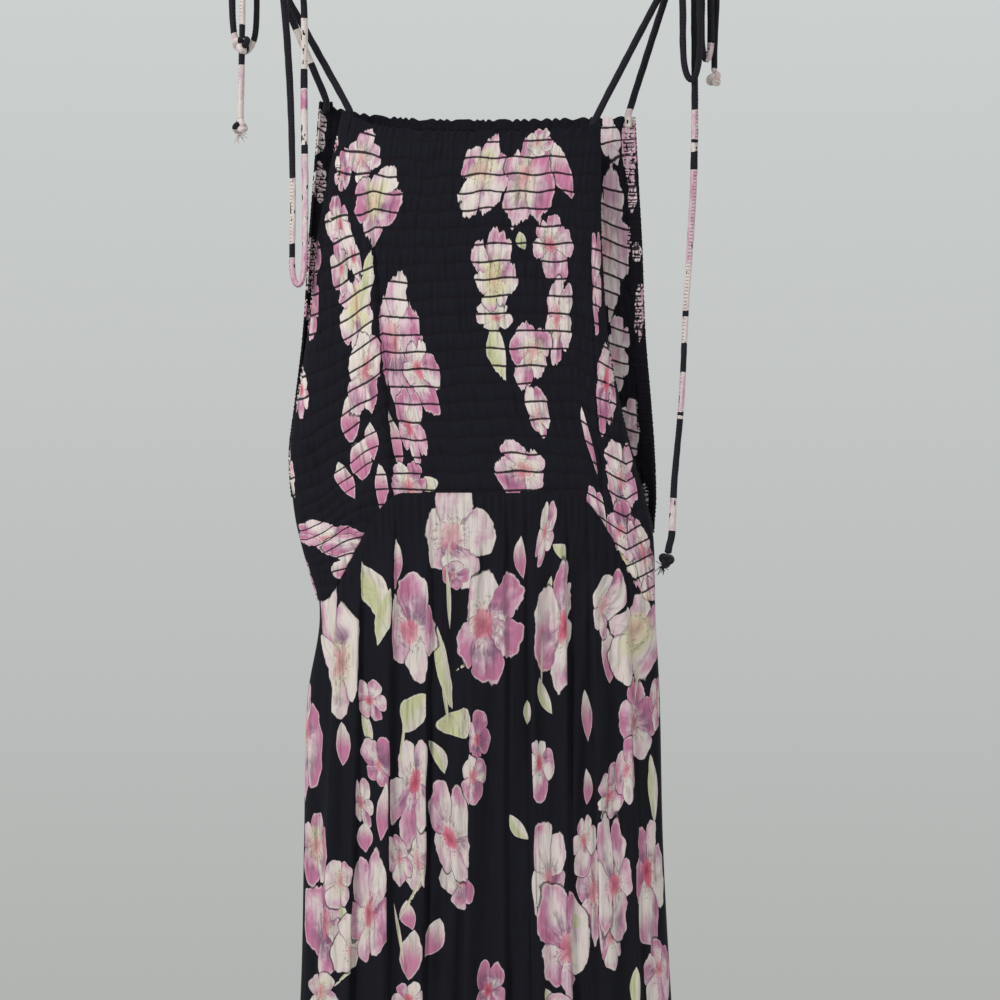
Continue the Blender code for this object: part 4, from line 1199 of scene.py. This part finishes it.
KNOTS = table(
    Knot,
    ("knot_left_middle", "end_knot_left_middle", LEFT_MIDDLE_KNOT, LARGE_KNOT, 3.0, 3.0, 0.0, 0.3),
    ("knot_left_end", "end_knot_left", LEFT_END_KNOT, SMALL_KNOT, 2.7, 8.0, 0.2, 1.1, 0.1, (-0.1, 0, -1)),
    ("knot_right_short", "end_knot_right_short", RIGHT_SHORT_KNOT, SMALL_KNOT, 2.8, 6.0, 0.2, 0.7, 0.0),
    (
        "knot_right_long", "end_knot_right_long", RIGHT_LONG_KNOT, SMALL_KNOT, 2.7, 4.0, -1.0, 1.9, 0.5,
        (-0.6, 0, -1),
    ),
    ("bow_left", "bow_knot_left", LEFT_KNOT, tuple(KNOT_RADII), 3.3, 14.0, 0.3, 0.2),
    ("bow_right", "bow_knot_right", RIGHT_KNOT, tuple(KNOT_RADII), 3.3, 19.0, 0.2, 0.9),
)

# Where petals show along a tie: from and to, as parts of its length, and how pink they are
TIE_PETALS = {
    "tie_left_long_loop": (
        (0.35, 0.44, 0.1), (0.46, 0.557, 0.65), (0.557, 0.68, 0.40),
        (0.694, 0.742, 0.05), (0.742, 0.77, 0.8), (0.797, 0.868, 0.0),
        (0.91, 0.98, 0.1),
    ),
    "tie_left_loop": ((0.10, 0.20, 0.1), (0.42, 0.56, 0.1), (0.70, 0.78, 0.3)),
    "tie_left_end": ((0.16, 0.30, 0.1), (0.46, 0.58, 0.0), (0.76, 1.0, 0.2)),
    "tie_right_loop": ((0.06, 0.12, 0.3),),
    "tie_right_wide_loop": ((0.50, 0.56, 0.2),),
    "tie_right_short_end": ((0.985, 1.0, 0.0),),
    "tie_right_long_end": (
        (0.285, 0.332, 0.3), (0.338, 0.350, 0.0), (0.381, 0.522, 0.5),
        (0.522, 0.607, 0.0), (0.616, 0.660, 0.0), (0.708, 0.772, 0.4),
        (0.776, 0.784, 0.0), (0.911, 0.965, 0.3),
    ),
    "strap_back_right": ((0.0, 0.10, 0.3),),
    "strap_back_left": ((0.30, 0.52, 0.0), (0.70, 0.80, 0.1)),
    "strap_front_right": (),
    "strap_front_left": (),
}


def place_cord(name, path, nodes):
    cord = tie_piece(name, name + "_cord", path, nodes, 9.0)
    float(lengths_along(path)[-1]) * MM


def trefoil(middle, half_x, half_y, half_z, radius, turn):
    """A closed knot's line, filling a box about its middle."""
    t = np.linspace(0, 2 * np.pi, KNOT_STEPS, endpoint=False)
    a = (np.sin(t) + 2 * np.sin(2 * t)) / 3
    b = (np.cos(t) - 2 * np.cos(2 * t)) / 3
    ca, sa = math.cos(turn), math.sin(turn)
    x = (a * ca - b * sa) * (half_x - radius)
    y = -np.sin(3 * t) * (half_y - radius)
    z = (a * sa + b * ca) * (half_z - radius)
    return np.stack((middle.x + x, middle.y + y, middle.z + z), axis=-1)


def make_knot(knot):
    """Crossed turns about a firm heart, with frayed threads where the tie is cut off."""
    path = trefoil(knot.middle, *knot.radii, knot.radius, knot.turn)
    light = np.sin(np.linspace(0, 6.283, KNOT_STEPS) * 2 + knot.seed) >= 2 * knot.dark - 1
    tones = np.where(light, knot.tone, -1.0)
    turns = tube_mesh(knot.name, path, knot.radius, flat=0.9, wobble=0.05, closed=True, tones=tones)
    spine = [tuple(knot.middle + Vector((0, 0, knot.radii[2] * k))) for k in (-0.5, -0.25, 0.1, 0.5)]
    core = [tube_mesh("core", np.array(spine), knot.radii[0] * 0.5, flat=0.8, tones=knot.tone)]
    if knot.frayed:
        rng = np.random.default_rng(int(knot.seed) + 70)
        down = Vector(knot.frayed).normalized()
        foot = knot.middle + down * knot.radii[0] * 0.7
        for _ in range(FRAYED_THREADS):
            way = down + Vector(rng.normal(0, 0.55, 3))
            length = rng.uniform(3.5, 7.5)
            bend = Vector(rng.normal(0, 1.6, 3))
            line = [tuple(foot + way * length * t + bend * t * t) for t in (0, 0.35, 0.7, 1)]
            core.append(tube_mesh("thread", np.array(line), 0.28, around=4, tones=knot.tone))
    finish = tie_material(knot.name + "_cloth", knot.seed)
    made = []
    for mesh, name, nodes in ((turns, knot.name, [knot.node]), (joined(core), knot.name + "_heart", [])):
        mesh.materials.append(finish)
        made.append(add_piece(mesh, name, "tie_rayon", *nodes))
    return made


def joined(meshes):
    both = bmesh.new()
    for mesh in meshes:
        both.from_mesh(mesh)
        bpy.data.meshes.remove(mesh)
    mesh = bpy.data.meshes.new("joined")
    both.to_mesh(mesh)
    both.free()
    mesh.shade_smooth()
    return mesh


def make_ties():
    knots = {knot.name: make_knot(knot) for knot in KNOTS}
    for route in (*LOOPS, *ENDS):
        start, after = leave(*route.leaves)
        if route.knots:
            before, end = reach(route.reaches, route.through[-1])
        else:
            end, before = leave(*route.reaches)
        path = smooth_path([start, after, *route.through, before, end], TIE_STEP)
        pieces = [piece for name in route.knots for piece in knots[name]]
        place_cord(route.name, path, route.nodes or [route.name])


STRAP_INSET = 5.5
STRAP_RISE = 0.9
STRAP_SEWN = 11.0           # how far a strap runs on down behind the cloth, and how deep it lies there
STRAP_BEHIND = 3.6
STRAP_LEAN = 16             # the top edge is followed for one part in this many of its width


def make_straps(panels):
    """Four straps from the bodice's corners to the bows. Their feet run down behind the top edge."""
    for side, (cloth, _) in panels.items():
        for hand, at, knot, inwards in (("left", 0, LEFT_KNOT, 1), ("right", -1, RIGHT_KNOT, -1)):
            name = "strap_%s_%s" % (side, hand)
            beside = at + inwards * round(cloth.x.shape[1] / STRAP_LEAN)
            corner, follow = (
                Vector((cloth.x[0, k], cloth.depth[0, k], cloth.height[0, k])) for k in (at, beside)
            )
            width = abs(follow.x - corner.x)
            base = corner.lerp(follow, STRAP_INSET / width)
            outer_side = corner.lerp(follow, (STRAP_INSET - TIE / 2) / width)
            foot = Vector((base.x, cloth.face * (base.y - 1.6), outer_side.z + STRAP_RISE))
            end, before = leave(knot, (0.1 * inwards, 0.75 * cloth.face, -0.65))
            below = Vector((before.x, cloth.face * 8.6, before.z - 9))
            way = (below - foot).normalized()
            foot.z += TIE / 2 * math.hypot(way.x, way.y)
            above = foot + way * TIE
            middle = foot.lerp(below, 0.5) + Vector((0, cloth.face * 1.0, 0))
            sewn = foot - Vector((0, cloth.face * STRAP_BEHIND, STRAP_SEWN))
            route = [sewn, foot.lerp(sewn, 0.3), above, middle, below, before, end]
            tie_piece(name, name + "_tie", smooth_path(route, TIE_STEP), [name], 5.0)


# Hanger

def bar_line(x):
    return BAR_TOP - BAR_FALL * (np.abs(x) / BAR_SPAN) ** 1.3


def bar_top(x):
    beyond = np.maximum(0.0, np.abs(np.abs(x) - NOTCH_AT) - NOTCH_FLAT)
    return np.minimum(bar_line(x), NOTCH_FLOOR + NOTCH_CURVE * beyond**2)


def make_bar():
    """A plain bar with rounded ends and a notch for each bow."""
    ends = np.array([BAR_END - 0.9, BAR_END - 0.2, BAR_END])
    xs = np.concatenate((-ends[::-1], np.linspace(-BAR_END + 2, BAR_END - 2, 241), ends))
    shrink = np.sqrt(np.clip((BAR_END + 0.3 - np.abs(xs)) / 2.3, 0.1, 1))
    top = bar_top(xs)
    dip = bar_line(xs) - top
    low = top + dip - BAR_HEIGHT
    half = BAR_DEPTH / 2 - dip / NOTCH_DEPTH
    angle = np.linspace(0, 2 * np.pi, BAR_AROUND, endpoint=False)
    across, up = (np.sign(turn) * np.abs(turn) ** 0.5 for turn in (np.cos(angle), np.sin(angle)))
    y = (half * shrink)[:, None] * across
    z = ((top + low) / 2)[:, None] + ((top - low) / 2 * shrink)[:, None] * up
    points = np.stack((np.broadcast_to(xs[:, None], y.shape), y, z), axis=-1).reshape(-1, 3)
    last = (len(xs) - 1) * BAR_AROUND
    caps = [tuple(range(BAR_AROUND)), tuple(reversed(range(last, last + BAR_AROUND)))]
    mesh = mesh_from("hanger_arm", points, ring_faces(len(xs), BAR_AROUND) + caps)
    mesh.set_sharp_from_angle(angle=math.radians(60))
    tree = Tree("hanger_plastic_finish")
    spot = tree.node("TexCoord", (), "Object")
    colour = tree.mix(tree.noise(spot, 3.0, scale=30.0), (0.60, 0.62, 0.63), (0.72, 0.74, 0.75))
    scuffs = tree.noise(spot, 4.0, scale=240.0)
    normal = tree.bump(scuffs, 0.15, 0.0004)
    mesh.materials.append(tree.finish(Base_Color=colour, Roughness=0.28 + scuffs * 0.2, Normal=normal))
    add_piece(mesh, "hanger_arm", "hanger_plastic", "hanger_bar")


def make_hook():
    """A bent wire, from the mouth over the crown and down to the bar."""
    middle = WIRE / 2 - CROOK
    route = []
    for angle in np.radians(range(205, -31, -15)):
        route.append((CROOK * math.cos(angle), 0, middle + CROOK * math.sin(angle)))
    route += [(5.5, 0, middle - CROOK - 4.5), (0.6, 0, middle - CROOK - 13)]
    route += [(0, 0, BAR_TOP + 8), (0, 0, BAR_TOP + 0.3)]
    mesh = tube_mesh("hanger_crook", smooth_path(route, 1.2), WIRE / 2, around=16)
    tree = Tree("hanger_steel_finish")
    drawn = tree.noise(tree.node("TexCoord", (), "Object"), 3.0, scale=400.0)
    colour = tree.mix(drawn, (0.55, 0.56, 0.57), (0.68, 0.69, 0.70))
    mesh.materials.append(tree.finish(Base_Color=colour, Metallic=1.0, Roughness=0.18 + drawn * 0.2))
    add_piece(mesh, "hanger_crook", "hanger_steel", "hanger_hook")


# Stage, light and camera

# The backdrop is painted darker towards the bottom, a painted shade on the wall; as the world it also
# lights the scene.
WALL_LOW = (0.425, 0.432, 0.42)
WALL_HIGH = (0.62, 0.65, 0.645)
FLOOR_HALF = 1500.0


def make_stage():
    bpy.context.scene.view_settings.view_transform = "Standard"
    room = Tree("pale_room", "worlds", "Background")
    rise = room.split(room.node("TexCoord", (), "Generated"))[2]
    # Painted shade: the backdrop darkens towards the bottom.
    blend = room.node("MapRange", {"Value": rise, "From Min": -0.22, "From Max": 0.22}, "Result")
    bpy.context.scene.world = room.finish(Color=room.mix(blend, WALL_LOW, WALL_HIGH))
    corners = [(x * FLOOR_HALF, y * FLOOR_HALF, HEM - 30) for x, y in ((-1, -1), (1, -1), (1, 1), (-1, 1))]
    mesh = mesh_from("floor", corners, [(0, 1, 2, 3)])
    tree = Tree("floor_finish")
    cloudy = tree.noise(tree.node("TexCoord", (), "Object"), scale=3.0)
    colour = tree.mix(cloudy, (0.46, 0.47, 0.465), (0.51, 0.52, 0.515))
    mesh.materials.append(tree.finish(Base_Color=colour, Roughness=0.9))
    put(mesh, "floor")


def add_light(name, spot, aim, size, power):
    light = bpy.data.lights.new(name, "AREA")
    light.size, light.energy = size, power
    put(light, name, spot, (Vector(aim) - Vector(spot)).to_track_quat("-Z", "Y").to_euler())


def make_camera():
    middle_x, middle_z = photo_point(PHOTO_SIDE / 2, PHOTO_SIDE / 2)
    camera = bpy.data.cameras.new("camera")
    camera.lens = LENS
    camera.sensor_width = camera.sensor_height = PHOTO_SIDE * PHOTO_MM * MM / CAMERA_AWAY * LENS
    camera.sensor_fit = "HORIZONTAL"
    spot = (middle_x * MM, CLOTH_PLANE - CAMERA_AWAY, middle_z * MM)
    bpy.context.scene.camera = put(camera, "camera", spot, (math.radians(90), 0, 0))


def main():
    make_camera()
    make_stage()
    middle = (0.0, 0.0, -0.65)
    add_light("key", (-1.9, -1.9, 0.5), middle, 1.1, 44)
    add_light("fill", (1.8, -1.8, -0.4), middle, 1.8, 9)
    add_light("back", (0.8, 2.4, 0.4), middle, 1.8, 26)
    shirred, gathered, edged = {}, {}, {}
    for side, wrong in (("right", False), ("wrong", True)):
        shirred[side] = print_material("print_shirred_" + side, 0.26, 0.46, wrong, (0.040, 0.084), 0.34)
        gathered[side] = print_material("print_gathered_" + side, 0.06, 0.42, wrong, hemmed=True)
        edged[side] = print_material("print_edging_" + side, 0.6, 0.8, wrong, (0.10, 0.26), 0.5, True)
    panels = make_bodice(tuple(shirred.values()))
    make_skirts(tuple(gathered.values()))
    for side, seed in (("front", 5), ("back", 6)):
        for hand, underarm in (("left", UNDERARM_LEFT), ("right", UNDERARM_RIGHT)):
            cloth, placed = panels[side]
            make_edging(
                "edging_%s_%s" % (side, hand), "armhole_edge_%s_%s" % (side, hand), cloth, placed,
                hand == "left", underarm, tuple(edged.values()), seed,
            )
    make_straps(panels)
    make_ties()
    make_bar()
    make_hook()


main()
